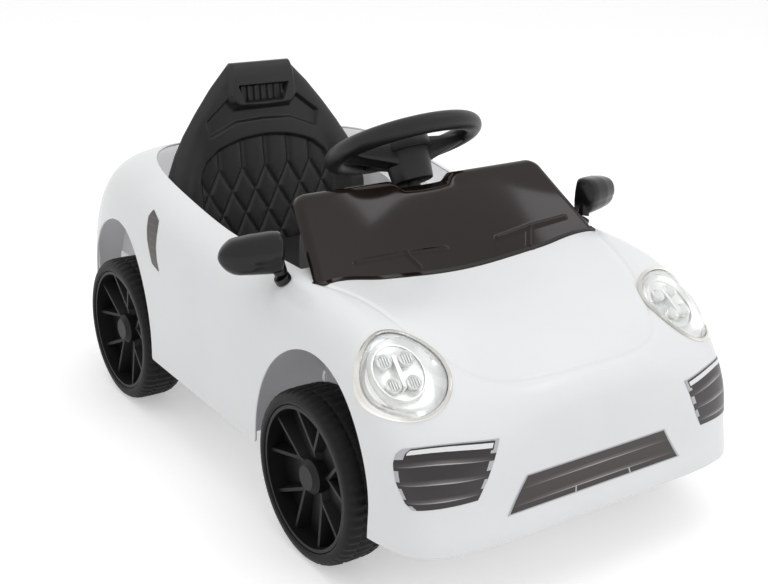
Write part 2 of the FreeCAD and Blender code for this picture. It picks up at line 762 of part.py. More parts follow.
def make_rim():
    half = wheel_width / 2
    barrel = rod(V(-half + 3, 0, 0), V(half - 2, 0, 0), rim_radius)
    barrel = barrel.cut(rod(V(-half + 2, 0, 0), V(half, 0, 0), rim_radius - rim_wall))
    web = rod(V(1, 0, 0), V(5, 0, 0), rim_radius - rim_wall + 1)
    hub = rod(V(-half, 0, 0), V(hub_face, 0, 0), hub_radius)
    spokes = []
    reach = rim_radius - rim_wall + 1
    spread = math.radians(spoke_spread)
    fork = V(0, 0, spoke_fork_radius)
    for k in range(spoke_pairs):
        blades = [spoke_blade(V(0, 0, hub_radius - 8), fork, hub_face, hub_face + 4)]
        for lean in (-1, 1):
            tip = V(0, lean * reach * math.sin(spread), reach * math.cos(spread))
            blades.append(spoke_blade(fork, tip, hub_face + 4, spoke_face))
        for blade in blades:
            blade.rotate(V(0, 0, 0), X, 360.0 / spoke_pairs * k)
        spokes += blades
    wheel = joined([barrel, web, hub] + spokes)
    trim = rod(V(-half - 1, 0, 0), V(half + 1, 0, 0), rim_radius)
    bore = rod(V(-half - 1, 0, 0), V(half, 0, 0), axle_radius + running_gap)
    cap_seat = rod(V(hub_face, 0, 0), V(half, 0, 0), hub_radius + 0.3)
    return wheel.common(trim).cut([bore, cap_seat])


def make_cap():
    front = hub_face + 14.0
    outer = rod(V(hub_face + 0.02, 0, 0), V(front, 0, 0), hub_radius)
    outer = outer.makeChamfer(6.0, [e for e in outer.Edges if e.BoundBox.XMin > front - 0.1])
    return outer.cut(rod(V(hub_face, 0, 0), V(front - 4, 0, 0), hub_radius - 6))


def gear(teeth, module, x0, x1, y, z, turn):
    root = module * teeth / 2 - 1.2 * module
    tip = module * teeth / 2 + 0.85 * module
    spots = []
    for k in range(teeth):
        for share, radius in ((-0.34, root), (-0.13, tip), (0.13, tip), (0.34, root)):
            angle = 2 * math.pi * (k + share) / teeth + turn
            spots.append(V(x0, y + radius * math.cos(angle), z + radius * math.sin(angle)))
    return prism(spots, V(x1 - x0, 0, 0))


# Gear centres: the output gear turns on the rear axle, and the train runs forward from it
output_pitch = output_module * output_teeth / 2
idler_small_pitch = output_module * idler_small_teeth / 2
idler_big_pitch = input_module * idler_big_teeth / 2
pinion_pitch = input_module * pinion_teeth / 2
train_rise = math.radians(20)
idler_y = rear_y - (output_pitch + idler_small_pitch) * math.cos(train_rise)
idler_z = hub_z + (output_pitch + idler_small_pitch) * math.sin(train_rise)
pinion_y = idler_y - idler_big_pitch - pinion_pitch
pinion_z = idler_z


def mesh_turn(teeth, other_teeth, other_turn, angle):
    # Turn that sets a gap of one gear against a tooth of the other along the line of centres
    tooth = (angle - other_turn) * other_teeth / (2 * math.pi)
    offset = tooth - round(tooth)
    return angle + math.pi + 2 * math.pi * (0.5 + offset) / teeth


def make_gears():
    out_turn = 0.0
    toward_idler = math.pi - train_rise
    idler_turn = mesh_turn(idler_small_teeth, output_teeth, out_turn, toward_idler)
    out = gear(output_teeth, output_module, gear_x, gear_x + gear_width, rear_y, hub_z, out_turn)
    sleeve = rod(V(gear_x - 8, rear_y, hub_z), V(hub_back_x - 0.02, rear_y, hub_z), 12.0)
    axle_way = rod(V(0, rear_y, hub_z), V(300, rear_y, hub_z), axle_radius + running_gap)
    out = joined([out, sleeve]).cut(axle_way)
    small = gear(idler_small_teeth, output_module, gear_x, gear_x + gear_width, idler_y, idler_z, idler_turn)
    big = gear(idler_big_teeth, input_module, big_gear_x, big_gear_x + 10, idler_y, idler_z, idler_turn)
    neck = rod(V(big_gear_x, idler_y, idler_z), V(gear_x + gear_width, idler_y, idler_z), 7.0)
    shaft = rod(V(box_x0 + 1, idler_y, idler_z), V(box_x1 - 1, idler_y, idler_z), shaft_radius)
    idler = joined([small, big, neck, shaft])
    pinion_turn = mesh_turn(pinion_teeth, idler_big_teeth, idler_turn, math.pi)
    pinion = gear(pinion_teeth, input_module, big_gear_x - 1, big_gear_x + 11,
                  pinion_y, pinion_z, pinion_turn)
    spindle = rod(V(box_x0 - 6, pinion_y, pinion_z), V(big_gear_x + 11, pinion_y, pinion_z), 2.0)
    return out, idler, joined([pinion, spindle])


def train_outline(grow, x0, x1):
    spots = ((rear_y, hub_z, output_pitch + output_module),
             (idler_y, idler_z, idler_big_pitch + input_module),
             (pinion_y, pinion_z, pinion_pitch + input_module + 3))
    discs = [rod(V(x0, y, z), V(x1, y, z), r + grow) for y, z, r in spots]
    bridge = side_profile([(rear_y, hub_z + 20), (pinion_y, pinion_z + 10 + grow),
                           (pinion_y, pinion_z - 10 - grow), (rear_y, hub_z - 20)], x0, x1)
    return joined(discs + [bridge])


def make_gearbox():
    wall = gearbox_wall
    block = train_outline(1.5 + wall, box_x0 - wall, box_x1 + wall)
    hollow = train_outline(1.5, box_x0 + 2, box_x1 - 2)
    lug = box(box_x0 - wall, box_x1 + wall, idler_y - 12, idler_y + 12, idler_z, rear_floor_z - 0.02)
    shell = block.fuse(lug).removeSplitter().cut(hollow)
    bores = [rod(V(box_x0 - 10, rear_y, hub_z), V(box_x1 - 10, rear_y, hub_z), axle_radius + running_gap),
             rod(V(box_x1 - 10, rear_y, hub_z), V(box_x1 + 10, rear_y, hub_z), 12.0 + running_gap),
             rod(V(box_x0, idler_y, idler_z), V(box_x1, idler_y, idler_z), shaft_radius + running_gap),
             rod(V(box_x0 - 10, pinion_y, pinion_z), V(box_x0 + 10, pinion_y, pinion_z), 4.0)]
    shell = shell.cut(bores)
    split_x = (big_gear_x + 10 + gear_x) / 2
    inner = shell.common(box(0, split_x, 0, 500, 0, 300))
    outer = shell.common(box(split_x, 400, 0, 500, 0, 300))
    return inner, outer


def make_motor():
    end = box_x0 - gearbox_wall - 0.02
    can = rod(V(end - motor_length, pinion_y, pinion_z), V(end, pinion_y, pinion_z), motor_radius)
    tail = rod(V(end - motor_length - 5, pinion_y, pinion_z), V(end - motor_length, pinion_y, pinion_z), 5.0)
    nose = rod(V(end - 8, pinion_y, pinion_z), V(end + 4, pinion_y, pinion_z), 2.0 + running_gap)
    return joined([can, tail]).cut(nose)


# Half width of the seat back at heights along its slope


def seat_place(shape):
    foot = V(0, seat_foot_y, rear_floor_z + pan_wall)
    shape.Placement = FreeCAD.Placement(foot, FreeCAD.Rotation(X, -seat_lean))
    return shape


def seat_section(inset, y):
    side = [V(x - inset, y, z - inset * z / 300) for x, z in seat_outline]
    curve = Part.BSplineCurve()
    curve.interpolate(side)
    other = Part.BSplineCurve()
    other.interpolate([V(-p.x, y, p.z) for p in reversed(side)])
    foot = V(side[0].x, y, -20)
    edges = [curve.toShape(), Part.makeLine(side[-1], V(-side[-1].x, y, side[-1].z)), other.toShape(),
             Part.makeLine(V(-side[0].x, y, 0), V(-foot.x, y, -20)), Part.makeLine(V(-foot.x, y, -20), foot),
             Part.makeLine(foot, side[0])]
    return Part.Wire(edges)


def make_seat_back():
    deep = seat_back_thick
    slab = Part.makeLoft([seat_section(seat_edge, 0), seat_section(0, seat_edge),
                          seat_section(seat_taper, deep)], True, True)
    slope = seat_taper / (deep - seat_edge)
    inner = seat_wall * 1.4 + slope * (quilt_depth + seat_wall - seat_edge)
    hollow = Part.makeLoft([seat_section(inner, quilt_depth + seat_wall),
                            seat_section(inner + slope * (deep - quilt_depth), deep + seat_wall)], True, True)
    slab = slab.cut(hollow)
    slot = prism([V(-40, -1, 252), V(40, -1, 252), V(33, -1, 228), V(-33, -1, 228)], V(0, 9, 0))
    ribs = [box(-28 + 11.2 * k - 1.5, -28 + 11.2 * k + 1.5, 2, 9, 226, 254) for k in range(6)]
    slot = slot.cut(ribs)
    chest = [V(-55, -1, 229), V(-95, -1, 203), V(-86, -1, 181), V(-45, -1, 197), V(45, -1, 197),
             V(86, -1, 181), V(95, -1, 203), V(55, -1, 229), V(46, -1, 218), V(-46, -1, 218)]
    panel = prism(chest, V(0, 6, 0))
    arch = Part.Arc(V(-112, -1, 120), V(0, -1, 176), V(112, -1, 120)).toShape()
    sides = [Part.makeLine(V(112, -1, 120), V(112, -1, -30)),
             Part.makeLine(V(112, -1, -30), V(-112, -1, -30)),
             Part.makeLine(V(-112, -1, -30), V(-112, -1, 120))]
    pad = Part.Face(Part.Wire([arch] + sides)).extrude(V(0, quilt_depth + 1, 0))
    pad_zone = Part.Face(Part.Wire([arch] + sides)).extrude(V(0, quilt_depth + 3, 0))
    seat = slab.cut([slot, panel, pad])
    grooves = []
    for lean in (-1, 1):
        for k in range(-6, 7):
            notch = [V(-3, quilt_depth - 0.1, 0), V(3, quilt_depth - 0.1, 0), V(0, quilt_depth + 1.5, 0)]
            groove = prism(notch, V(0, 0, 420))
            groove.translate(V(0, 0, -210))
            groove.rotate(V(0, 0, 0), Y, lean * 28.0)
            groove.translate(V(k * quilt_pitch, 0, 60))
            grooves.append(groove)
    bite = Part.makeCompound(grooves).common(pad_zone)
    seat = seat_place(seat.cut(bite))
    floor_top = rear_floor_z + pan_wall
    return seat.cut(box(-300, 300, 100, 500, 0, floor_top + 0.02))


def make_seat_base():
    half = seat_half_width
    top = seat_top_z
    back = seat_foot_y + (top - rear_floor_z - pan_wall) * math.tan(math.radians(seat_lean)) - 2.5
    low = sill_z + pan_wall + 0.02
    step_z = rear_floor_z + pan_wall + 0.02
    step_y = rear_riser_y - clearance
    outer = box(-half, half, seat_front_y, back, low, top)
    outer = rounded(outer, 12.0, lambda e: e.BoundBox.ZMin > top - 0.1 and e.BoundBox.YMax < back - 1)
    hollow = box(-half + seat_wall, half - seat_wall, seat_front_y + seat_wall, back + 9,
                 low - 9, top - seat_wall)
    behind = box(-half - 1, half + 1, step_y, back + 9, low - 9, step_z)
    socket = rod(V(socket_x, seat_front_y - 9, socket_z), V(socket_x, seat_front_y + 9, socket_z),
                 socket_radius)
    return outer.cut([hollow, behind, socket])


def make_charge_socket():
    y = seat_front_y
    flange = rod(V(socket_x, y - 2.02, socket_z), V(socket_x, y - 0.02, socket_z), socket_radius + 4)
    barrel = rod(V(socket_x, y - 2, socket_z), V(socket_x, y + 16, socket_z), socket_radius - 0.1)
    well = rod(V(socket_x, y - 5, socket_z), V(socket_x, y + 10, socket_z), 4.0)
    pin = rod(V(socket_x, y + 3, socket_z), V(socket_x, y + 12, socket_z), 1.0)
    return joined([flange, barrel]).cut(well).fuse(pin).removeSplitter()


def make_battery():
    length, width, height = battery_size
    floor = sill_z + pan_wall + 0.02
    case = box(battery_x - length / 2, battery_x + length / 2, battery_y - width / 2, battery_y + width / 2,
               floor, floor + height)
    case = rounded(case, 3.0, lambda e: e.BoundBox.ZLength > height - 1)
    tabs = [box(battery_x + s * 34 - 3, battery_x + s * 34 + 3, battery_y - 2, battery_y + 2,
                floor + height - 1, floor + height + 7) for s in (-1, 1)]
    return joined([case] + tabs)


def make_battery_strap():
    length, width, height = battery_size
    floor = sill_z + pan_wall + 0.02
    gap = 0.3
    y0, y1 = battery_y - width / 2 - gap, battery_y + width / 2 + gap
    top = floor + height + gap
    outer = box(battery_x - 9, battery_x + 9, y0 - 2, y1 + 2, floor, top + 2)
    strap = outer.cut(box(battery_x - 20, battery_x + 20, y0, y1, floor - 1, top))
    feet = box(battery_x - 9, battery_x + 9, y0 - 8, y1 + 3.5, floor, floor + 2)
    return strap.fuse(feet.cut(box(battery_x - 20, battery_x + 20, y0, y1, floor - 1, top))).removeSplitter()


def make_controller():
    floor = sill_z + pan_wall + 0.02
    case = box(30, 110, 75, 125, floor, floor + 28)
    case = rounded(case, 3.0, lambda e: e.BoundBox.ZLength > 20)
    ports = [box(40 + 22 * k, 54 + 22 * k, 70, 76, floor + 6, floor + 18) for k in range(3)]
    return joined([case] + ports)


def make_pedal():
    half = pedal_half_width
    plate = box(-half, half, -pedal_reach, 0, -3, 3)
    plate = rounded(plate, 8.0, lambda e: e.BoundBox.YMax < -pedal_reach + 0.1 and e.BoundBox.ZLength > 5)
    treads = [box(-half + 6, half - 6, -20 - 10 * k, -15 - 10 * k, 2, 4.5) for k in range(4)]
    foot = box(-8, 8, -pedal_foot_reach - 4, -pedal_foot_reach + 4, -pedal_foot_depth, 0)
    barrel = rod(V(-half, 0, 0), V(half, 0, 0), 7.0)
    bore = rod(V(-half - 1, 0, 0), V(half + 1, 0, 0), pedal_pin_radius + running_gap)
    pedal = joined([plate, barrel, foot] + treads).cut(bore)
    pedal.rotate(V(0, 0, 0), X, -pedal_slope)
    pedal.translate(V(pedal_x, pedal_y, pedal_z))
    return pedal


def make_pedal_pin():
    reach = pedal_half_width + 7
    return rod(V(pedal_x - reach, pedal_y, pedal_z), V(pedal_x + reach, pedal_y, pedal_z), pedal_pin_radius)


def make_pedal_switch():
    # The button stands just under the pedal's foot at the end of its travel
    pressed = math.radians(pedal_swing - pedal_slope)
    foot_low = -pedal_foot_reach - 4, -pedal_foot_depth
    y = pedal_y + foot_low[0] * math.cos(pressed) - foot_low[1] * math.sin(pressed)
    top = pedal_z + foot_low[0] * math.sin(pressed) + foot_low[1] * math.cos(pressed) - 0.6
    top = min(top, top + 8 * math.sin(pressed))
    floor = sill_z + pan_wall + 0.02
    case = box(pedal_x - 11, pedal_x + 11, y - 6, y + 14, floor, top - 3)
    return joined([case, rod(V(pedal_x, y + 4, top - 4), V(pedal_x, y + 4, top), 4.0)])


def make_mirror(side):
    foot = mirror_foot
    peg = rod(foot - mirror_axis * 12, foot + mirror_axis * 2, mirror_peg_radius)
    neck = mirror_peg_radius + 1.0
    base = Part.makeCone(neck + 1.5, neck, 8.0, foot + mirror_axis * clearance, mirror_axis)
    centre = foot + V(mirror_reach, 14, mirror_rise)
    lean = V(8, 4, mirror_rise - 6)
    stalk = Part.makeCone(neck, mirror_peg_radius, lean.Length, foot + mirror_axis * 5, lean)
    rings = []
    for share, scale in ((-1.0, 0.74), (-0.6, 0.95), (0.0, 1.0), (0.6, 0.88), (1.0, 0.5)):
        middle = centre + X * (share * mirror_half_width)
        spots = []
        for k in range(12):
            turn = 2 * math.pi * (k + 0.5) / 12
            out = Y * (mirror_half_depth * math.cos(turn)) + Z * (mirror_half_height * math.sin(turn))
            spots.append(middle + out * scale)
        rings.append(Part.makePolygon(spots + spots[:1]))
    pod = Part.makeLoft(rings, True, True)
    pod = pod.cut(box(centre.x - 60, centre.x + 60, centre.y + 9, centre.y + 60,
                      centre.z - 60, centre.z + 60))
    pod.rotate(centre, Z, mirror_sweep)
    mirror = joined([peg, base, stalk, pod])
    return mirror if side > 0 else mirrored(mirror)


def wheel_at(shape, side, y):
    copy = shape.copy() if side > 0 else mirrored(shape)
    copy.translate(V(side * wheel_x, y, hub_z))
    return copy


nodes["body_shell"] = make_body_shell()
nodes["floor_pan"] = make_pan()
nodes["windscreen"] = make_screen()
nodes["dashboard"] = make_dashboard()
bezel, lens, reflector = make_headlight()
for side, name in ((1, "left"), (-1, "right")):
    for label, shape in (("bezel", bezel), ("lens", lens), ("reflector", reflector)):
        nodes["headlight_" + label + "_" + name] = shape if side > 0 else mirrored(shape)
    nodes["mirror_" + name] = make_mirror(side)
nodes["seat_back"] = make_seat_back()
nodes["seat_base"] = make_seat_base()
nodes["charge_socket"] = make_charge_socket()
nodes["battery"] = make_battery()
nodes["battery_strap"] = make_battery_strap()
nodes["control_box"] = make_controller()
nodes["accelerator_pedal"] = make_pedal()
nodes["pedal_pin"] = make_pedal_pin()
nodes["pedal_switch"] = make_pedal_switch()
nodes["steering_wheel"] = make_steering_wheel()
nodes["steering_column"] = make_column()
nodes["tie_rod"] = make_tie_rod()
for x, name in zip(button_x, ("right", "left")):
    nodes["horn_button_" + name] = make_button(x)
for x, name, lean in zip(switch_x, ("direction", "power"), (0.0, -rocker_swing)):
    frame, rocker = make_switch(x, lean)
    nodes[name + "_switch_frame"] = frame
    nodes[name + "_switch_rocker"] = rocker
tyre, rim, cap = make_tyre(), make_rim(), make_cap()
for side, hand in ((1, "left"), (-1, "right")):
    for y, end in ((front_y, "front"), (rear_y, "rear")):
        nodes["tyre_" + end + "_" + hand] = wheel_at(tyre, side, y)
        nodes["rim_" + end + "_" + hand] = wheel_at(rim, side, y)
        nodes["hub_cap_" + end + "_" + hand] = wheel_at(cap, side, y)
    knuckle = make_knuckle()
    nut = make_nut(nut_x + 0.3, front_y)
    nodes["knuckle_" + hand] = knuckle if side > 0 else mirrored(knuckle)
    nodes["front_nut_" + hand] = nut if side > 0 else mirrored(nut)
nodes["rear_axle"] = rod(V(-nut_x - 8, rear_y, hub_z), V(nut_x + 8, rear_y, hub_z), axle_radius)
nodes["rear_nuts"] = both_sides(make_nut(nut_x + 0.3, rear_y))
spacer_x0 = hub_back_x - clearance
spacer_x1 = -axle_bracket_x[0] + 4 + 0.02
spacer = rod(V(-spacer_x0, rear_y, hub_z), V(-spacer_x1, rear_y, hub_z), 9.0)
axle_way = rod(V(-300, rear_y, hub_z), V(0, rear_y, hub_z), axle_radius + running_gap)
nodes["axle_spacer"] = spacer.cut(axle_way)
nodes["output_gear"], nodes["idler_gear"], nodes["motor_pinion"] = make_gears()
nodes["gearbox_inner"], nodes["gearbox_outer"] = make_gearbox()
nodes["motor"] = make_motor()

os.makedirs("parts", exist_ok=True)
for name, shape in nodes.items():
    shape.exportStep("parts/" + name + ".step")
    state = "valid" if shape.isValid() else "INVALID"
    print(name, len(shape.Solids), "solids", state, round(shape.Volume / 1000, 1), "cm3")
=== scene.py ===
# %% [markdown]
# A child's electric ride-on car, seen a little from above on its front right corner.
# The solid model gives every piece its place, so the lesson starts by loading it.
# Everything after that dresses those solids: a finer moulded skin, a quilted seat, real finishes.

# %% Load the car
import json
import math
import bpy
import numpy as np
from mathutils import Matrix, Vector
from mathutils.bvhtree import BVHTree

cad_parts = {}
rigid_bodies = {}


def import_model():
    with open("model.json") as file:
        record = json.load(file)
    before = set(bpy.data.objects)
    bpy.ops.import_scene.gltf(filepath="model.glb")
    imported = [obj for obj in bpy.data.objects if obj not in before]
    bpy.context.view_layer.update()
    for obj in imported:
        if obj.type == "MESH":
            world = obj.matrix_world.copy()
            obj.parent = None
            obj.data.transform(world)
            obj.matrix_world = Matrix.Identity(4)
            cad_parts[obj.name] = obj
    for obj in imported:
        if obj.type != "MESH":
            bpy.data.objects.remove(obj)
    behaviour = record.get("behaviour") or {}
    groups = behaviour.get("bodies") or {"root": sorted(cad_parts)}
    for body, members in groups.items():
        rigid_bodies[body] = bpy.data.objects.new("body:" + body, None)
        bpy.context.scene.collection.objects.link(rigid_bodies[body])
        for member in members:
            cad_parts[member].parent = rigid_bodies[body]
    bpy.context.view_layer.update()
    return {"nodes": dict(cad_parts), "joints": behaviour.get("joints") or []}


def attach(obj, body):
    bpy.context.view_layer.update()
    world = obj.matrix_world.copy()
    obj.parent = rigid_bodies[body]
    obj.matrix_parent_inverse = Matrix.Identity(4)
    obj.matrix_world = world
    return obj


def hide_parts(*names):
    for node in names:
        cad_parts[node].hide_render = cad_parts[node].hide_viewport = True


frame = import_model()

nodes = frame["nodes"]
MM = 0.001
print("pieces in the frame:", len(nodes))

# %% [markdown]
# Moulded plastic is never one flat tone. The tool it came from leaves a faint waviness, and hands
# leave patches that are a touch duller. One helper makes such a finish: a slow noise moves the
# roughness between two values, and a fine noise gives the surface its bump.

# %% A finish for moulded pieces
def grey(tone):
    return (tone, tone, tone)


def moulded_finish(name, colour, duller, rough_low, rough_high, grain_size, grain_depth,
                   metal=0.0, shine=0.5):
    finish = bpy.data.materials.new(name)
    finish.use_nodes = True
    tree = finish.node_tree
    shader = tree.nodes["Principled BSDF"]
    shader.inputs["Metallic"].default_value = metal
    shader.inputs["Specular IOR Level"].default_value = shine
    place = tree.nodes.new("ShaderNodeTexCoord")
    patches = tree.nodes.new("ShaderNodeTexNoise")
    patches.inputs["Scale"].default_value = 9.0
    patches.inputs["Detail"].default_value = 4.0
    tree.links.new(place.outputs["Object"], patches.inputs["Vector"])
    tone = tree.nodes.new("ShaderNodeValToRGB")
    tone.color_ramp.elements[0].position = 0.35
    tone.color_ramp.elements[1].position = 0.65
    tone.color_ramp.elements[0].color = (*duller, 1)
    tone.color_ramp.elements[1].color = (*colour, 1)
    tree.links.new(patches.outputs["Fac"], tone.inputs["Fac"])
    tree.links.new(tone.outputs["Color"], shader.inputs["Base Color"])
    gloss = tree.nodes.new("ShaderNodeMapRange")
    gloss.inputs["To Min"].default_value = rough_low
    gloss.inputs["To Max"].default_value = rough_high
    tree.links.new(patches.outputs["Fac"], gloss.inputs["Value"])
    tree.links.new(gloss.outputs["Result"], shader.inputs["Roughness"])
    grain = tree.nodes.new("ShaderNodeTexNoise")
    grain.inputs["Scale"].default_value = 1.0 / (grain_size * MM)
    grain.inputs["Detail"].default_value = 3.0
    tree.links.new(place.outputs["Object"], grain.inputs["Vector"])
    bump = tree.nodes.new("ShaderNodeBump")
    bump.inputs["Strength"].default_value = 0.35
    bump.inputs["Distance"].default_value = grain_depth * MM
    tree.links.new(grain.outputs["Fac"], bump.inputs["Height"])
    tree.links.new(bump.outputs["Normal"], shader.inputs["Normal"])
    return finish


white_shell = moulded_finish("white_shell", (0.82, 0.83, 0.835), (0.80, 0.81, 0.815), 0.20, 0.28, 24, 0.10)
# the wells are the same white plastic as the body, set a little lighter here: painted light that lifts the
# shade in the wells
well_white_painted_lighter = moulded_finish("well_white_painted_lighter", (0.86, 0.86, 0.88), (0.82, 0.82, 0.84), 0.40, 0.52, 4, 0.12)
wheel_black = moulded_finish("wheel_black", grey(0.007), grey(0.005), 0.42, 0.55, 1.4, 0.10, shine=0.3)
tyre_black = moulded_finish("tyre_black", grey(0.006), grey(0.004), 0.48, 0.62, 1.1, 0.12, shine=0.22)
satin_black = moulded_finish("satin_black", grey(0.008), grey(0.006), 0.34, 0.44, 1.0, 0.08, shine=0.4)
mirror_black = moulded_finish("mirror_black", grey(0.006), grey(0.005), 0.16, 0.24, 6, 0.05, shine=0.36)
screen_black = moulded_finish("screen_black", (0.013, 0.008, 0.006), (0.011, 0.007, 0.006),
                              0.06, 0.10, 12, 0.04, shine=0.3)
seat_black = moulded_finish("seat_black", (0.017, 0.017, 0.018), (0.013, 0.013, 0.014),
                            0.38, 0.50, 0.9, 0.10, shine=0.45)
print("moulded finishes: two whites and six blacks, from", white_shell.name, "to", seat_black.name)

# %% [markdown]
# The white body is moulded in one piece, and no flat drawing gives its swelling sides.
# The solid model draws it as a smooth sheet over a cage of points, so the same cage is laid here:
# a plan outline, a height over the plan, and a rounded shoulder between them.
# Repeating the rule, not the mesh, lets Blender make the sheet as fine as the light needs.

# %% The cage of the body
body_half_width, nose_length, tail_length = 255.0, 441.0, 450.0
nose_squareness, tail_squareness = 9.5, 5.8
shoulder_power, tail_power, nose_power = 6.5, 4.6, 12.0
belt_z, tail_rise, fender_rise, hood_z, hood_slope = 307.0, 48.0, 12.0, 278.0, 0.12
fender_x, fender_knee_y, fender_knee_round, fender_fall = 214.0, -314.0, 25.0, 0.95
tail_climbs, fender_climbs = (0, 270), (-20, 170)
screen_base_y, opening_front_y = -206.0, -150.0
lip_z, lip_reach, lip_low, lip_high = 86.0, 9.0, 16.0, 30.0
tail_turns, nose_turns, lip_turns = (0.2, 0.8), (0.90, 0.99), (0.3, 0.9)
ring_degrees = (0, 5, 10, 22, 32, 40, 45, 50, 58, 66)
cap_degrees, cap_z, half_columns, bend_weight = 73, 300.0, 18, 100.0


def ease(value, low, high):
    share = np.clip((value - low) / (high - low), 0, 1)
    return share * share * (3 - 2 * share)


def plan_reach(theta):
    ahead = np.sin(theta) < 0
    reach = np.where(ahead, nose_length, tail_length)
    power = np.where(ahead, nose_squareness, tail_squareness)
    across = np.abs(np.cos(theta)) / body_half_width
    return (across ** power + (np.abs(np.sin(theta)) / reach) ** power) ** (-1 / power)


def top_height(x, y):
    past_knee = y - fender_knee_y
    fall = fender_fall * (np.hypot(past_knee, fender_knee_round) - past_knee) / 2
    side = belt_z + tail_rise * ease(y, *tail_climbs) + fender_rise * ease(-y, *fender_climbs) - fall
    hood = hood_z + hood_slope * (y - screen_base_y)
    middle = hood + (side - hood) * ease(y, opening_front_y, 0)
    return middle + (side - middle) * np.minimum(1.0, (x / fender_x) ** 2)


def cage_row(theta, degrees):
    phi = math.radians(degrees)
    ahead = -np.sin(theta)
    side = shoulder_power + (tail_power - shoulder_power) * ease(-ahead, *tail_turns)
    power = side + (nose_power - side) * ease(ahead, *nose_turns)
    norm = (math.cos(phi) ** power + math.sin(phi) ** power) ** (-1 / power)
    reach = math.cos(phi) * norm * plan_reach(theta)
    x, y = reach * np.cos(theta), reach * np.sin(theta)
    z = lip_z + math.sin(phi) * norm * (top_height(x, y) - lip_z)
    lip = lip_reach * ease(ahead, *lip_turns) * (1 - ease(z - lip_z, lip_low, lip_high))
    return np.stack([x, y - lip, z], axis=1)


def column_angles():
    fine_steps = 4000
    fine = np.linspace(math.pi / 2, 3 * math.pi / 2, fine_steps + 1)
    spots = plan_reach(fine)[:, None] * np.stack([np.cos(fine), np.sin(fine)], axis=1)
    steps = np.diff(spots, axis=0)
    heading = np.unwrap(np.arctan2(steps[:, 1], steps[:, 0]))
    bend = np.concatenate([[0], np.abs(np.diff(heading))])
    run = np.concatenate([[0], np.cumsum(np.linalg.norm(steps, axis=1) + bend_weight * bend)])
    picks = np.searchsorted(run, run[-1] * np.arange(half_columns + 1) / half_columns)
    half = fine[np.minimum(picks, fine_steps)]
    return np.concatenate([half, 3 * math.pi - half[-2:0:-1]])


columns = column_angles()
cage = [cage_row(columns, degrees) for degrees in ring_degrees + (cap_degrees,)]
cage[0][:, 2] = lip_z
cage[-1][:, 2] = cap_z
cage = np.stack(cage, axis=1)
print("cage of the body:", cage.shape[0], "columns,", cage.shape[1], "rows")

# %% [markdown]
# A spline sheet is its cage mixed by weights. Around the car the weights repeat, so the sheet
# closes on itself; up the car they stop at the end rows, so the sheet ends exactly on the lip.
# With the weights in two tables, one matrix product gives every point of the sheet at once.

# %% The weights of a spline
def loop_weights(count, samples):
    spot = np.arange(samples) * count / samples
    first = np.floor(spot).astype(int)
    t = spot - first
    shares = ((1 - t) ** 3 / 6, (3 * t ** 3 - 6 * t ** 2 + 4) / 6,
              (-3 * t ** 3 + 3 * t ** 2 + 3 * t + 1) / 6, t ** 3 / 6)
    table = np.zeros((samples, count))
    for k, share in enumerate(shares):
        table[np.arange(samples), (first + k - 1) % count] += share
    return table


def end_weights(count, samples):
    spans = count - 3
    knots = np.concatenate([[0] * 3, np.arange(spans + 1), [spans] * 3]).astype(float)
    spot = np.linspace(0, spans, samples)
    span = np.minimum(np.floor(spot).astype(int), spans - 1) + 3
    table = np.zeros((samples, count + 3))
    table[np.arange(samples), span] = 1.0
    for degree in (1, 2, 3):
        raised = np.zeros_like(table)
        for i in range(count + 3 - degree):
            left, right = knots[i + degree] - knots[i], knots[i + degree + 1] - knots[i + 1]
            if left > 0:
                raised[:, i] += (spot - knots[i]) / left * table[:, i]
            if right > 0:
                raised[:, i] += (knots[i + degree + 1] - spot) / right * table[:, i + 1]
        table = raised
    return table[:, :count]


print("the weights of a point add up to", end_weights(11, 5).sum(axis=1).round(3))

# %% The smooth sheet over the cage
def unit(vectors):
    return vectors / np.linalg.norm(vectors, axis=-1, keepdims=True)


def skin_grid(around, up):
    by_row = np.einsum("vr,crk->cvk", end_weights(cage.shape[1], up), cage)
    return np.einsum("uc,cvk->uvk", loop_weights(cage.shape[0], around), by_row)


def grid_normals(grid):
    along = np.roll(grid, -1, axis=0) - np.roll(grid, 1, axis=0)
    rise = np.gradient(grid, axis=1)
    return unit(np.cross(along, rise))


def loop_quads(around, up):
    i, j = np.meshgrid(np.arange(around), np.arange(up - 1), indexing="ij")
    k = (i + 1) % around
    return np.stack([i * up + j, k * up + j, k * up + j + 1, i * up + j + 1], axis=2).reshape(-1, 4)


rough_around, rough_up = 360, 140
rough_skin = skin_grid(rough_around, rough_up).reshape(-1, 3)
skin_tree = BVHTree.FromPolygons(rough_skin.tolist(), loop_quads(rough_around, rough_up).tolist())


def on_skin(point, lift=0.0):
    spot, normal, _, _ = skin_tree.find_nearest(Vector(point))
    return np.array(spot) + lift * np.array(normal), np.array(normal)


print("the sheet spans", rough_skin.min(0).round(1), rough_skin.max(0).round(1))

# %% [markdown]
# The body is opened for the driver, the four wheels, the sill and the two headlights.
# Cutting with solids would leave ragged shading on such a curved sheet. Each opening is written
# as a distance instead, negative inside it, and the sheet is trimmed where the distance is zero.

# %% The openings as distances
wheelbase, hub_z = 500.0, 100.0
arch_spring_z = hub_z + 10.0
sill_z = 97.0
front_arch = (-wheelbase / 2 - 5, 113.0, 250.0)
rear_arch = (wheelbase / 2 + 12, 122.0, 255.0)
lamp_x, lamp_y, lamp_half_width, lamp_half_height = 198.0, -356.0, 47.0, 53.0
lamp_mean, lamp_deep, probe, high_above = (lamp_half_width + lamp_half_height) / 2, 40.0, 2.0, 500.0


def skin_height(x, y):
    return skin_tree.ray_cast(Vector((x, y, high_above)), Vector((0, 0, -1)))[0].z


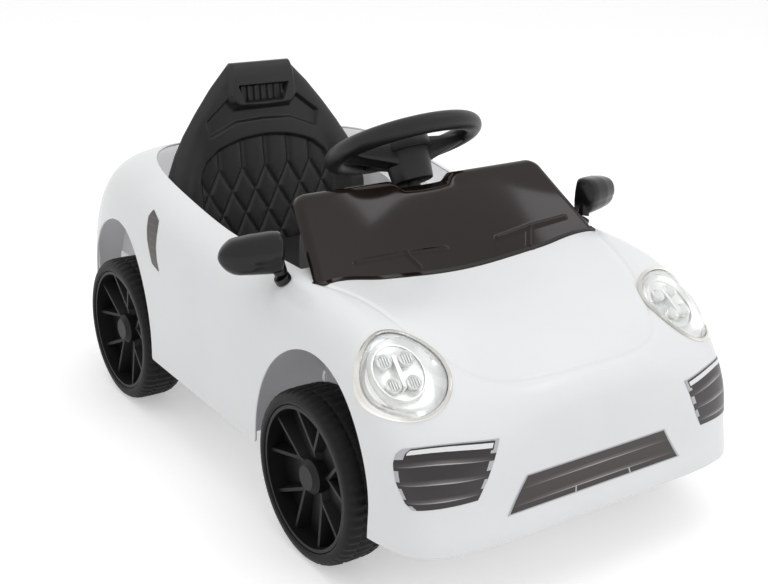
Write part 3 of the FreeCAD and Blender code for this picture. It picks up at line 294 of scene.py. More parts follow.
lamp_at = np.array([lamp_x, lamp_y, skin_height(lamp_x, lamp_y)])
slope_x = (skin_height(lamp_x + probe, lamp_y) - skin_height(lamp_x - probe, lamp_y)) / (2 * probe)
slope_y = (skin_height(lamp_x, lamp_y + probe) - skin_height(lamp_x, lamp_y - probe)) / (2 * probe)
lamp_normal = unit(np.array([-slope_x, -slope_y, 1.0]))
lamp_side = unit(np.cross([0, 0, 1.0], lamp_normal))
lamp_rise = np.cross(lamp_normal, lamp_side)


def cockpit_distance(x, y):
    half_width, mid_y, rear_y, power = 198.0, 100.0, 345.0, 3.5
    behind = np.clip((y - mid_y) / (rear_y - mid_y), 0, None)
    round_end = ((np.abs(x) / half_width) ** power + behind ** power) ** (1 / power)
    return np.maximum((round_end - 1) * half_width, opening_front_y - y)


def arch_distance(y, z, middle, half, top_z):
    up = np.clip((z - arch_spring_z) / (top_z - arch_spring_z), 0, None)
    return (np.hypot((y - middle) / half, up) - 1) * half


def lamp_distance(points):
    away = np.stack([np.abs(points[:, 0]), points[:, 1], points[:, 2]], axis=1) - lamp_at
    oval = np.hypot(away @ lamp_side / lamp_half_width, away @ lamp_rise / lamp_half_height)
    return np.where(np.abs(away @ lamp_normal) < lamp_deep, (oval - 1) * lamp_mean, lamp_mean)


def opening_distance(points):
    x, y, z = points.T
    arches = [arch_distance(y, z, *arch) for arch in (front_arch, rear_arch)]
    sill = np.maximum(np.abs(y) - wheelbase / 2, z - sill_z)
    return np.minimum.reduce([cockpit_distance(x, y), sill, lamp_distance(points)] + arches)


print("headlight middle", lamp_at.round(1), "facing", lamp_normal.round(3))

# %% [markdown]
# The hood is not a separate lid. A moulded groove only draws its outline on the skin.
# A groove this thin is pressed into the sheet by moving points down along the surface normal,
# by an amount that falls off with the distance to the outline.

# %% Press the hood line into the skin
hood_half = [(205, -196), (188, -227), (176, -275), (160, -329), (146, -365), (128, -389), (100, -405),
             (60, -412), (0, -415)]
hood_line = np.array(hood_half + [(-x, y) for x, y in hood_half[-2::-1]], float)
hood_groove_width, hood_groove_depth = 2.6, 1.5
groove_starts, groove_faces_up = (190, 210), (0.25, 0.5)


def distance_to_line(x, y, line):
    nearest = np.full(x.shape, 1e9)
    for (ax, ay), (bx, by) in zip(line[:-1], line[1:]):
        run = (bx - ax) ** 2 + (by - ay) ** 2
        share = np.clip(((x - ax) * (bx - ax) + (y - ay) * (by - ay)) / run, 0, 1)
        nearest = np.minimum(nearest, np.hypot(x - ax - share * (bx - ax), y - ay - share * (by - ay)))
    return nearest


def smooth_line(line, samples=160, passes=60):
    knots = np.linspace(0, 1, len(line))
    spots = np.linspace(0, 1, samples)
    fine = np.stack([np.interp(spots, knots, line[:, k]) for k in (0, 1)], axis=1)
    for _ in range(passes):
        fine[1:-1] = (fine[:-2] + 2 * fine[1:-1] + fine[2:]) / 4
    return fine


def press_grooves(grid):
    normal = grid_normals(grid)
    off = distance_to_line(grid[..., 0], grid[..., 1], smooth_line(hood_line))
    on_top = ease(normal[..., 2], *groove_faces_up) * ease(-grid[..., 1], *groove_starts)
    depth = hood_groove_depth * np.exp(-(off / hood_groove_width) ** 2) * on_top
    return grid - depth[..., None] * normal


hood_run = np.linalg.norm(np.diff(hood_line, axis=0), axis=1).sum()
print("hood line length:", round(float(hood_run)), "mm")

# %% [markdown]
# Now the sheet is trimmed. Squares wholly outside the openings stay, and a square that an opening
# crosses is cut along the zero line, so each edge runs smoothly round the arch or the headlight.
# The trimmed edge is then rolled inward by half a turn, as a moulded wall is.

# %% Trim a sheet
def trim(points, normals, quads, distance):
    kept = distance >= 0
    corners_kept = kept[quads].sum(axis=1)
    faces = quads[corners_kept == 4].tolist()
    new_points, new_normals, made = [], [], {}

    def cut(a, b):
        key = (min(a, b), max(a, b))
        if key not in made:
            share = distance[a] / (distance[a] - distance[b])
            made[key] = len(points) + len(new_points)
            new_points.append(points[a] + share * (points[b] - points[a]))
            new_normals.append(normals[a] + share * (normals[b] - normals[a]))
        return made[key]

    for quad in quads[(corners_kept > 0) & (corners_kept < 4)].tolist():
        face = []
        for a, b in zip(quad, quad[1:] + quad[:1]):
            if kept[a]:
                face.append(a)
            if kept[a] != kept[b]:
                face.append(cut(a, b))
        if len(face) > 2:
            faces.append(face)
    points = np.concatenate([points, np.array(new_points).reshape(-1, 3)])
    normals = np.concatenate([normals, np.array(new_normals).reshape(-1, 3)])
    used = np.zeros(len(points), bool)
    used[[v for face in faces for v in face]] = True
    index = np.cumsum(used) - 1
    faces = [[int(index[v]) for v in face] for face in faces]
    return points[used], unit(normals[used]), faces


def sheet_quads(index):
    corners = [index[:-1, :-1], index[:-1, 1:], index[1:, 1:], index[1:, :-1]]
    return np.stack(corners, axis=2).reshape(-1, 4)


def sheet_border(index):
    return np.concatenate([index[0, :-1], index[:-1, -1], index[-1, :0:-1], index[:0:-1, 0]])


test_sheet = np.arange(9).reshape(3, 3)
print("a sheet of 3 by 3 points has", len(sheet_quads(test_sheet)), "squares and",
      len(sheet_border(test_sheet)), "edge points")

# %% Roll the edges of a sheet
roll_bulge = 0.5


def roll_edges(points, normals, faces, wall):
    face_sides = {(a, b) for face in faces for a, b in zip(face, face[1:] + face[:1])}
    rim = [(a, b) for a, b in face_sides if (b, a) not in face_sides]
    outward = np.zeros_like(points)
    for a, b in rim:
        out = np.cross(points[b] - points[a], normals[a] + normals[b])
        outward[a] += out
        outward[b] += out
    edge = sorted({v for pair in rim for v in pair})
    outward = outward[edge]
    outward /= np.maximum(np.linalg.norm(outward, axis=1, keepdims=True), 1e-9)
    slot = {v: k for k, v in enumerate(edge)}
    base, bend = points[edge], normals[edge]
    ring = edge
    for turn in np.radians((45, 90, 135, 180)):
        fresh = len(points) + np.arange(len(edge))
        shift = (wall / 2) * (outward * math.sin(turn) * roll_bulge - bend * (1 - math.cos(turn)))
        points = np.concatenate([points, base + shift])
        normals = np.concatenate([normals, bend * math.cos(turn) + outward * math.sin(turn)])
        fresh = fresh.tolist()
        faces = faces + [[ring[slot[b]], ring[slot[a]], fresh[slot[a]], fresh[slot[b]]] for a, b in rim]
        ring = fresh
    return points, normals, faces


print("a rolled edge bulges by", roll_bulge / 2, "of its wall")

# %% [markdown]
# One helper turns points into a piece: it makes the mesh, gives it its own normals when they are
# known, names its finish and the body it rides on, and hides the plain solid it stands for.
# Without normals of its own, a mesh is shaded smooth up to a crease angle and sharp beyond it.

# %% Make a piece from points
crease_angle = math.radians(42)


def make_piece(name, points, faces, finish, body, stands_for=(), normals=None):
    mesh = bpy.data.meshes.new(name)
    mesh.from_pydata((np.asarray(points, float) * MM).tolist(), [], faces)
    mesh.validate()
    mesh.shade_smooth()
    if normals is None:
        mesh.set_sharp_from_angle(angle=crease_angle)
    else:
        mesh.normals_split_custom_set_from_vertices(np.asarray(normals).tolist())
    mesh.materials.append(finish)
    piece = bpy.data.objects.new(name, mesh)
    bpy.context.scene.collection.objects.link(piece)
    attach(piece, body)
    if stands_for:
        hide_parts(*stands_for)
    return piece


def join_parts(parts):
    points, faces, start = [], [], 0
    for part_points, part_faces in parts:
        points.append(part_points)
        faces += [[v + start for v in face] for face in part_faces]
        start += len(part_points)
    return np.concatenate(points), faces


print("edges sharper than", round(math.degrees(crease_angle)), "degrees stay sharp")

# %% [markdown]
# The body is a wall of plastic, so it has two sheets: the skin, and a lining one wall thickness in.
# A solidified mesh would have both, but the lining is a piece of its own, so that its finish can glow
# faintly:
# painted light that lifts the shade falling on the inside of the body.

# %% The white body
shell_wall, painted_lining_glow = 3.0, 0.3
around, up = 720, 200
lining_around, lining_up = 240, 70
outer = skin_grid(around, up)
pressed = press_grooves(outer)
skin = trim(pressed.reshape(-1, 3), grid_normals(pressed).reshape(-1, 3), loop_quads(around, up),
            opening_distance(outer.reshape(-1, 3)))
points, normals, faces = roll_edges(*skin, shell_wall)
make_piece("moulded_body", points, faces, white_shell, "car", ["body_shell"], normals)
print("body:", len(points), "points outside")

lining = skin_grid(lining_around, lining_up)
lining_normals = grid_normals(lining)
lined = (lining - shell_wall * lining_normals).reshape(-1, 3)
lining_quads = loop_quads(lining_around, lining_up)[:, ::-1]
points, normals, faces = trim(lined, -lining_normals.reshape(-1, 3), lining_quads,
                              opening_distance(lining.reshape(-1, 3)))
lining_with_painted_light = moulded_finish("lining_with_painted_light", (0.82, 0.83, 0.835), (0.80, 0.81, 0.815), 0.30, 0.40, 24, 0.10)
lining_shader = lining_with_painted_light.node_tree.nodes["Principled BSDF"]
# the lining's faint emission is painted light: it brightens the shade inside the body, and the lining is no
# lamp
lining_shader.inputs["Emission Color"].default_value = (1, 1, 1, 1)
lining_shader.inputs["Emission Strength"].default_value = painted_lining_glow
make_piece("body_lining", points, faces, lining_with_painted_light, "car", normals=normals)
print("body:", len(points), "points inside")

# %% [markdown]
# The windscreen is a dark gloss cover with rolled edges, a hollow in its top edge for the column,
# a lip along the hood and two wipers moulded in. Nobody looks through it, so it is one hollow sheet.
# It is drawn flat first, by its distance across and its distance up the slope, where every edge
# is simple. Its points are then pushed back to dish it and roll its edges, or out for the wipers.

# %% The windscreen drawn flat
screen_base_z, screen_top_y, screen_top_z = 299.0, -109.0, 374.0
screen_base_half, screen_top_half, screen_corner, screen_roll = 210.0, 184.0, 18.0, 12.0
screen_foot = np.array([0.0, screen_base_y, screen_base_z])
screen_slope = np.array([0.0, screen_top_y - screen_base_y, screen_top_z - screen_base_z])
screen_length = float(np.linalg.norm(screen_slope))
screen_slope = screen_slope / screen_length
screen_out = np.array([0.0, -screen_slope[2], screen_slope[1]])
shoulder_rise, shoulder_from, shoulder_to = 9.0, 30.0, 50.0
dish_at_foot, dish_lost, edge_gap = 22.0, 19.5, 0.7
scoop_ring, scoop_away, scoop_drop, scoop_blend = 199.2, 263.3, 20.0, 2.0
back_rim_climbs, back_rim_spreads, back_rim_depth = (-18.0, 4.0), (30.0, 52.0), 24.0
wiper_rise, wiper_width = 2.6, 2.1
wiper_lines = [[(-143, 30), (-73, 33), (-10, 30)], [(-69, 32), (-58, 13)],
               [(67, 29), (120, 34), (173, 34)], [(118, 32), (106, 10)]]


def screen_half(v):
    return screen_base_half + (screen_top_half - screen_base_half) * v / screen_length


def screen_top(x):
    return screen_length + shoulder_rise * ease(np.abs(x), shoulder_from, shoulder_to)


def screen_reach(share, v):
    past_corner = np.clip(v - (screen_top(share * screen_top_half) - screen_corner), 0, screen_corner)
    return screen_half(v) - screen_corner + np.sqrt(screen_corner ** 2 - past_corner ** 2)


def screen_edge(x, v):
    across = np.abs(x) - (screen_half(v) - screen_corner)
    along = v - (screen_top(x) - screen_corner)
    past = np.hypot(np.maximum(across, 0), np.maximum(along, 0))
    return screen_corner - past - np.minimum(np.maximum(across, along), 0)


def screen_dish(x, v):
    deep = np.maximum(0, dish_at_foot - dish_lost * v / screen_length)
    return deep * (1 - (x / screen_half(v)) ** 2)


def screen_depth(x, v):
    dish = screen_dish(x, v)
    edge = np.clip(screen_edge(x, v), edge_gap, screen_roll)
    depth = dish + screen_roll - np.sqrt(screen_roll ** 2 - (screen_roll - edge) ** 2)
    past_top = v - screen_length
    ball = scoop_ring ** 2 + scoop_away ** 2 - x ** 2 - (past_top - scoop_ring + scoop_drop) ** 2
    back_rim = ease(past_top, *back_rim_climbs) * ease(np.abs(x), *back_rim_spreads)
    scoop = np.sqrt(np.maximum(ball, 0)) - scoop_away - back_rim_depth * back_rim
    depth = (depth + scoop + np.sqrt((depth - scoop) ** 2 + scoop_blend)) / 2
    for line in wiper_lines:
        off = distance_to_line(x, v, np.array(line, float))
        depth = depth - wiper_rise * np.exp(-(off / wiper_width) ** 2)
    return depth


def screen_point(x, v):
    flat = screen_foot + np.multiply.outer(x, [1.0, 0, 0]) + np.multiply.outer(v, screen_slope)
    return flat - np.multiply.outer(screen_depth(x, v), screen_out)


print("windscreen", round(screen_length), "mm up the slope,", round(2 * screen_base_half), "mm wide below")

# %% The windscreen sheet
screen_columns, screen_rows, screen_wall = 340, 150, 3.0
foot_search, foot_halvings, foot_gap = 45.0, 22, 0.4
lip_profile = ((7.0, 0.1), (6.4, 1.3), (4.0, 1.7), (1.6, 2.2))
shares = np.linspace(-1, 1, screen_columns + 1)


def screen_foot_at(share):
    low, high = -foot_search, foot_search
    for _ in range(foot_halvings):
        middle = (low + high) / 2
        x, y, z = screen_point(np.array([share * (screen_half(middle) - edge_gap)]), np.array([middle]))[0]
        low, high = (low, middle) if z > skin_height(x, y) + foot_gap else (middle, high)
    return high


def sheet_normals(grid):
    return unit(np.cross(np.gradient(grid, axis=1), np.gradient(grid, axis=0)))


foot_v = np.array([screen_foot_at(share) for share in shares])
climb = np.linspace(0, 1, screen_rows + 1)[:, None]
v = foot_v + (screen_top(shares * screen_top_half) - edge_gap - foot_v) * climb
front = screen_point(shares * (screen_reach(shares, v) - edge_gap), v)
lip = []
for forward, lift in lip_profile:
    row = front[0] + np.array([0, -forward, 0])
    lip.append([(x, y, skin_height(x, y) + lift) for x, y, _ in row])
front = np.concatenate([np.array(lip), front])
out = -sheet_normals(front)
out = out * np.sign(np.sum(out * screen_out, axis=2).mean())
both = np.concatenate([front.reshape(-1, 3), (front - screen_wall * out).reshape(-1, 3)])
index = np.arange(front.shape[0] * front.shape[1]).reshape(front.shape[:2])
border = sheet_border(index)
ahead = np.roll(border, -1)
edge = np.stack([ahead, border, border + index.size, ahead + index.size], axis=1)
quads = sheet_quads(index)
faces = np.concatenate([quads, quads[:, ::-1] + index.size, edge]).tolist()
make_piece("dark_windscreen", both, faces, screen_black, "car", ["windscreen"])
print("windscreen:", len(both), "points, foot from", foot_v.min().round(1), "to", foot_v.max().round(1))

# %% [markdown]
# Each headlight is a plated ring, a clear cover and a plated bowl with four fluted lamp cups.
# They follow the slope of the fender, so they are drawn as an oval in the plane of the lamp and
# every point is then set at a height over the skin under it. Rows of rings joined into a skin,
# a loft, make all of them, because every section is an oval.

# %% Rows of sections joined into a skin
def full_turn(count):
    return np.arange(count) * 2 * math.pi / count


def loft(sections):
    count = len(sections[0])
    points = np.concatenate([np.asarray(section, float) for section in sections])
    faces = []
    for start in range(0, len(points) - count, count):
        for j in range(count):
            k = (j + 1) % count
            faces.append([start + j, start + k, start + count + k, start + count + j])
    faces.append(list(range(count))[::-1])
    faces.append(list(range(len(points) - count, len(points))))
    return points, faces


def turned(profile, count=64):
    angle = full_turn(count)
    circle = np.stack([np.cos(angle), np.sin(angle)], axis=1)
    return loft([np.column_stack([r * circle, np.full(count, z)]) for r, z in profile])


def rounded_box(half_a, half_b, power, count=32):
    angle = full_turn(count)
    size = (np.abs(np.cos(angle)) ** power + np.abs(np.sin(angle)) ** power) ** (-1 / power)
    return size * half_a * np.cos(angle), size * half_b * np.sin(angle)


def block(half_a, half_b, low, high, soft=0.8):
    sections = []
    for inset, height in ((0, low), (0, high - soft), (soft * 0.3, high - soft * 0.3), (soft, high)):
        across, along = rounded_box(half_a - inset, half_b - inset, 6.0)
        sections.append(np.column_stack([across, along, np.full(len(across), height)]))
    return loft(sections)


def ring_faces(rows, columns_count):
    i, j = np.meshgrid(np.arange(rows), np.arange(columns_count), indexing="ij")
    a, b = (i + 1) % rows, (j + 1) % columns_count
    quads = [i * columns_count + j, a * columns_count + j, a * columns_count + b, i * columns_count + b]
    return np.stack(quads, axis=2).reshape(-1, 4).tolist()


print("a test block has", len(block(5, 5, 0, 4)[0]), "points")

# %% Plated and clear finishes
def metal_finish(name, colour, rough_low, rough_high, scratch_size):
    duller = tuple(c * 0.85 for c in colour)
    return moulded_finish(name, colour, duller, rough_low, rough_high, scratch_size, 0.03, 1.0)


chrome = moulded_finish("chrome", (0.90, 0.88, 0.84), (0.50, 0.48, 0.45), 0.05, 0.12, 8, 0.03, 1.0)
bright_bowl = moulded_finish("bright_bowl", (0.90, 0.90, 0.88), (0.84, 0.84, 0.83), 0.22, 0.34, 3, 0.03, 0.6)
clear_lens = moulded_finish("clear_lens", (0.97, 0.98, 0.98), (0.95, 0.96, 0.97), 0.02, 0.05, 30, 0.02)
lens_shader = clear_lens.node_tree.nodes["Principled BSDF"]
lens_shader.inputs["Transmission Weight"].default_value = 1.0
lens_shader.inputs["IOR"].default_value = 1.25
print("plated and clear finishes: 3")

# %% The oval of a headlight
lamp_steps, lamp_clear = 120, 60.0
lamp_turn = full_turn(lamp_steps)


def lamp_height(a, b):
    start = Vector(lamp_at + lamp_side * a + lamp_rise * b + lamp_normal * lamp_clear)
    spot = skin_tree.ray_cast(start, Vector(-lamp_normal))[0]
    return lamp_clear - (start - spot).length


def lamp_ring(inset, scale, lift, on_surface=True):
    a = (lamp_half_width - inset) * scale * np.cos(lamp_turn)
    b = (lamp_half_height - inset) * scale * np.sin(lamp_turn)
    level = np.array([lamp_height(p, q) if on_surface else 0.0 for p, q in zip(a, b)])
    return np.stack([a, b, level + lift], axis=1)


def in_lamp(points, sign):
    points = np.asarray(points, float)
    world = lamp_at + points[:, :1] * lamp_side + points[:, 1:2] * lamp_rise + points[:, 2:] * lamp_normal
    return world * np.array([sign, 1, 1])


def turned_over(faces, sign):
    return faces if sign > 0 else [face[::-1] for face in faces]


print("skin at the side of a headlight, from its plane:", round(lamp_height(lamp_half_width, 0), 1), "mm")

# %% The cups in a headlight
cup_places = ((-11, 20), (14, 20), (-10, -8), (13, -8))
cup_profile = [(4, -19), (7, -18), (8.6, -12), (8.6, -10.6), (8.0, -10), (7.4, -10.6), (5.6, -14), (1, -14.6)]
cup_steps, flutes_each_side, flute_pitch, flute_thick, flute_half, flute_step = 40, 2, 2.9, 0.8, 6.2, 0.8
flute_low, flute_high, cup_low = -18, -11.2, -19
divider_thick, divider_half, divider_high = 2.6, 19, -9.8
cluster_a, cluster_b, cluster_half_a, cluster_half_b = 1.5, 6.0, 28.0, 32.0
cluster_profile = ((1.03, -19), (1.03, -13), (1.015, -12.4), (0.985, -12.4), (0.97, -13), (0.97, -19))


def moved(part, a, b):
    return part[0] + np.array([a, b, 0]), part[1]


def lamp_cups():
    parts = []
    for a, b in cup_places:
        parts.append(moved(turned(cup_profile, cup_steps), a, b))
        for k in range(-flutes_each_side, flutes_each_side + 1):
            flute = block(flute_thick, flute_half - abs(k) * flute_step, flute_low, flute_high)
            parts.append(moved(flute, a + flute_pitch * k, b))
    divider = block(divider_thick, divider_half, cup_low, divider_high)
    parts.append(moved(divider, cluster_a, cluster_b))
    oval_a = cluster_a + cluster_half_a * np.cos(lamp_turn)
    oval_b = cluster_b + cluster_half_b * np.sin(lamp_turn)
    rings = [np.column_stack([oval_a * s, oval_b * s, np.full(lamp_steps, z)]) for s, z in cluster_profile]
    parts.append((np.stack(rings, axis=1).reshape(-1, 3), ring_faces(lamp_steps, len(rings))))
    return parts


print("parts in a headlight:", len(lamp_cups()))

# %% The headlights
ring_profile = [(0.6, -2.4), (-1.3, 0.2), (-1.5, 0.8), (-0.7, 1.9), (0.8, 2.5), (2.2, 2.0), (3.0, 0.8),
                (3.4, -2.4)]
bowl_front = [(0.04, -19), (0.3, -18.6), (0.5, -17.6), (0.68, -15.5), (0.80, -12.8), (0.90, -9), (0.97, -5),
              (1.0, -2.5)]
bowl_back = [(0.99, -5), (0.92, -11), (0.82, -15.5), (0.70, -18.5), (0.5, -21), (0.04, -22)]
bowl_inset, bowl_meets_skin = 4.3, 0.95
cover_inset, cover_lift, cover_crown, cover_wall = 3.7, 0.2, 2.8, 1.8
cover_shares = (0.03, 0.3, 0.6, 0.8, 0.93, 1.0)
sides = {"left": 1, "right": -1}


def cover_ring(share, under):
    return lamp_ring(cover_inset, share, cover_lift + cover_crown * (1 - share * share) - under)


ring = np.stack([lamp_ring(inset, 1.0, lift) for inset, lift in ring_profile], axis=1).reshape(-1, 3)
cover = [cover_ring(s, cover_wall) for s in cover_shares] + [cover_ring(s, 0) for s in cover_shares[::-1]]
bowl = [lamp_ring(bowl_inset, s, z, s > bowl_meets_skin) for s, z in bowl_front + bowl_back]
plated_ring = (ring, ring_faces(lamp_steps, len(ring_profile)))
lamp_parts = [("plated_ring_", plated_ring, chrome, "chrome_trim", "bezel"),
              ("clear_cover_", loft(cover), clear_lens, "clear_lens", "lens"),
              ("lamp_bowl_", join_parts([loft(bowl)] + lamp_cups()), bright_bowl, "chrome_trim", "reflector")]
for side, sign in sides.items():
    for name, (points, faces), finish, slot, solid in lamp_parts:
        make_piece(name + side, in_lamp(points, sign), turned_over(faces, sign), finish, "car",
                   ["headlight_" + solid + "_" + side])
print("headlights: 2, bowl with", len(points), "points")

# %% [markdown]
# The dashboard is a satin cowl that hides behind the windscreen and carries two rocker switches.
# Its section changes along its length, because its ends fall away towards the screen, so it is
# a loft again: one side view is drawn for each place across the car.

# %% The dashboard cowl
cowl_half, cowl_falls, cowl_steps, cowl_gap = 166.0, (126, 166), 67, 2.0
cowl_rear_y, cowl_top_z, cowl_rear_fall, cowl_top_fall = -46, 352, 46, 10
cowl_low_z, cowl_foot_y, cowl_seat_y, cowl_seat_gap = 260, -148, -165.0, 1.5


def cowl_front(x, z):
    v = (z - screen_base_z) / screen_slope[2]
    behind = (screen_dish(x, v) + screen_wall + cowl_gap) / screen_slope[2]
    return screen_base_y + v * screen_slope[1] + behind


def cowl_section(x):
    fall = ease(abs(x), *cowl_falls)
    rear, top = cowl_rear_y - cowl_rear_fall * fall, cowl_top_z - cowl_top_fall * fall
    low = skin_height(x, cowl_seat_y) + cowl_seat_gap
    side = [(cowl_front(x, top), top), (rear - 40, top - 2), (rear - 18, top - 6), (rear - 7, top - 11),
            (rear - 2, top - 17), (rear, top - 25), (rear, cowl_low_z + 26), (rear - 2, cowl_low_z + 17),
            (rear - 8, cowl_low_z + 8), (rear - 22, cowl_low_z), (cowl_foot_y, cowl_low_z),
            (cowl_foot_y, low), (cowl_front(x, low), low)]
    return np.array([(x, y, z) for y, z in side])


points, faces = loft([cowl_section(x) for x in np.linspace(-cowl_half, cowl_half, cowl_steps)])
make_piece("dash_cowl", points, turned_over(faces, -1), satin_black, "car", ["dashboard"])
print("dashboard cowl:", len(points), "points")

# %% [markdown]
# Five dark panels decorate the car: a louvred panel under each headlight, a wide grille between
# them, and a blade on each flank. On the real toy they look like printed film laid on the skin.
# Each is a thin patch of squares, drawn between two edges and then dropped onto the skin. A shader
# draws the louvres, as a wave over the height of the patch that fades towards its two sides.

# %% Finishes for the printed panels
def louvre_finish(name, bands, shift, dark, bright):
    finish = moulded_finish(name, dark, dark, 0.25, 0.35, 3, 0.03)
    tree = finish.node_tree
    panel = tree.nodes.new("ShaderNodeUVMap")
    split = tree.nodes.new("ShaderNodeSeparateXYZ")
    tree.links.new(panel.outputs["UV"], split.inputs["Vector"])

    def sum_node(kind, first, second):
        node = tree.nodes.new("ShaderNodeMath")
        node.operation = kind
        tree.links.new(first, node.inputs[0])
        if second is not None:
            node.inputs[1].default_value = second
        return node.outputs["Value"]

    band = sum_node("FRACT", sum_node("ADD", sum_node("MULTIPLY", split.outputs["Y"], bands), shift), None)
    off_middle = sum_node("ABSOLUTE", sum_node("ADD", split.outputs["X"], -0.5), None)
    fade = tree.nodes.new("ShaderNodeMapRange")
    fade.inputs["From Min"].default_value = 0.5
    fade.inputs["From Max"].default_value = 0.05
    tree.links.new(off_middle, fade.inputs["Value"])
    shade = tree.nodes.new("ShaderNodeValToRGB")
    ramp = shade.color_ramp
    ramp.elements[0].position = 0.0
    ramp.elements[1].position = 1.0
    middle = tuple((d * 3 + b) / 4 for d, b in zip(dark, bright))
    for element in ramp.elements:
        element.color = (*dark, 1)
    for place, colour in ((0.08, dark), (0.12, bright), (0.16, middle), (0.38, dark)):
        step = ramp.elements.new(place)
        step.color = (*colour, 1)
    tree.links.new(band, shade.inputs["Fac"])
    blend = tree.nodes.new("ShaderNodeMix")
    blend.data_type = "RGBA"
    blend.inputs[6].default_value = (*dark, 1)
    tree.links.new(fade.outputs["Result"], blend.inputs[0])
    tree.links.new(shade.outputs["Color"], blend.inputs[7])
    tree.links.new(blend.outputs[2], tree.nodes["Principled BSDF"].inputs["Base Color"])
    return finish


vent_print = louvre_finish("vent_print", 3.53, 0.74, (0.020, 0.016, 0.016), (0.60, 0.58, 0.57))
grille_print = louvre_finish("grille_print", 2.27, 0.67, (0.030, 0.022, 0.022), (0.52, 0.49, 0.48))
blade_print = louvre_finish("blade_print", 8.0, 0.2, (0.060, 0.048, 0.046), (0.17, 0.14, 0.135))
grey_print = moulded_finish("grey_print", (0.50, 0.50, 0.53), (0.47, 0.47, 0.50), 0.25, 0.35, 3, 0.03)
black_print = moulded_finish("black_print", (0.02, 0.018, 0.017), (0.016, 0.014, 0.013), 0.25, 0.35, 3, 0.03)
print("printed finishes: 5")

# %% Lay a patch on the skin
def between(edges, share, level):
    ends = []
    for edge in edges:
        edge = np.array(edge, float)
        along = (edge[:, 2] - edge[0, 2]) / (edge[-1, 2] - edge[0, 2])
        ends.append(np.array([np.interp(level, along, edge[:, k]) for k in range(3)]))
    return ends[0] + (ends[1] - ends[0]) * share


def skin_patch(edges, lift, window, sign=1, steps=(40, 16)):
    left, right, low, high = window
    mirror = np.array([sign, 1, 1])
    points, normals, spots = [], [], []
    for level in np.linspace(low, high, steps[1] + 1):
        for share in np.linspace(left, right, steps[0] + 1):
            point, normal = on_skin(between(edges, share, level), lift)
            points.append(point * mirror)
            normals.append(normal * mirror)
            spots.append((share, level))
    row = steps[0] + 1
    faces = sheet_quads(np.arange(len(points)).reshape(-1, row)).tolist()
    middle = steps[1] // 2 * row + steps[0] // 2
    a, b, c = [points[k] for k in (middle, middle + 1, middle + row)]
    if np.dot(np.cross(b - a, c - a), normals[middle]) < 0:
        faces = turned_over(faces, -1)
    return np.array(points), faces, normals, spots


def lay(name, patches, finish):
    points, faces = join_parts([patch[:2] for patch in patches])
    normals = [normal for patch in patches for normal in patch[2]]
    spots = [spot for patch in patches for spot in patch[3]]
    piece = make_piece(name, points, faces, finish, "car", normals=normals)
    sheet = piece.data.uv_layers.new(name="panel")
    for loop in piece.data.loops:
        sheet.data[loop.index].uv = spots[loop.vertex_index]


print("the tail's skin is at", on_skin((0, tail_length, belt_z))[0].round(1))

# %% The vents and flank blades
whole = (0, 1, 0, 1)
vent_edges = [[(228, -417, 136), (232, -410, 142), (235, -404, 153), (237, -399, 162), (237.5, -395, 174),
               (237, -393, 181), (234, -393, 190), (229, -397, 196)],
              [(163, -439, 139), (152, -438, 158), (143, -437, 178), (134, -432, 198)]]
blade_low, blade_high = (252, 115, 227), (231, 170, 294)
blade_edges = [[blade_low, (251, 138, 232), (249, 149, 244), (246, 161, 257), (242, 169, 270),
                (236, 175, 284), blade_high],
               [blade_low, (250, 125, 240), (247, 133, 254), (244, 137, 266), (240, 140, 275),
                (235, 145, 285), blade_high]]
blade_window = (0, 1, 0.01, 0.99)
grey_steps = [(0.0, 0.06, 0.44, 0.62), (0.0, 0.05, 0.17, 0.34), (0.94, 1.0, 0.50, 0.66),
              (0.95, 1.0, 0.20, 0.36), (0.0, 0.07, 0.0, 0.07), (0.0, 0.10, 0.80, 1.0), (0.93, 1.0, 0.78, 1.0)]
bar_edge, bar = (0.10, 0.955, 0.83, 0.975), (0.115, 0.94, 0.862, 0.943)
for side, sign in sides.items():
    lay("vent_film_" + side, [skin_patch(vent_edges, 0.20, whole, sign)], grey_print)
    lay("vent_louvres_" + side, [skin_patch(vent_edges, 0.40, (0, 1, 0.0, 0.84), sign)], vent_print)
    lay("vent_steps_" + side, [skin_patch(vent_edges, 0.55, w, sign, (6, 6)) for w in grey_steps], grey_print)
    lay("vent_bar_edge_" + side, [skin_patch(vent_edges, 0.65, bar_edge, sign, (40, 4))], black_print)
    lay("vent_bar_" + side, [skin_patch(vent_edges, 0.80, bar, sign, (40, 4))], white_shell)
    lay("flank_blade_" + side, [skin_patch(blade_edges, 0.4, blade_window, sign, (12, 48))], blade_print)
print("vents and flank blades: two of each, with", len(grey_steps), "grey steps in a vent")

# %% The grille
grille_edges = [[(-127, -443, 111), (-101, -441, 151)], [(127, -443, 111), (101, -441, 151)]]
grille_grid, louvre_window = (60, 16), (0.012, 0.988, 0.035, 0.965)
upright_places, upright_half, upright_window, grille_mean_width = (-32, 48), 0.004, (0.03, 0.2), 250
upright_middles = [0.5 + x / grille_mean_width for x in upright_places]
uprights = [(middle - upright_half, middle + upright_half, *upright_window) for middle in upright_middles]
lay("grille_film", [skin_patch(grille_edges, 0.25, whole, 1, grille_grid)], grey_print)
lay("grille_louvres", [skin_patch(grille_edges, 0.45, louvre_window, 1, grille_grid)], grille_print)
lay("grille_uprights", [skin_patch(grille_edges, 0.6, w, 1, (3, 6)) for w in uprights], grey_print)
print("grille laid on the skin, with", len(uprights), "uprights")

# %% [markdown]
# The seat is a hollow bucket, and its whole front is relief: a quilt of pillows under an arch,
# a sunk panel and a headrest with a slot. Sculpting it would be slow and hard to repeat.
# A height over a flat outline gives all of it, because no part of the relief hangs over another.

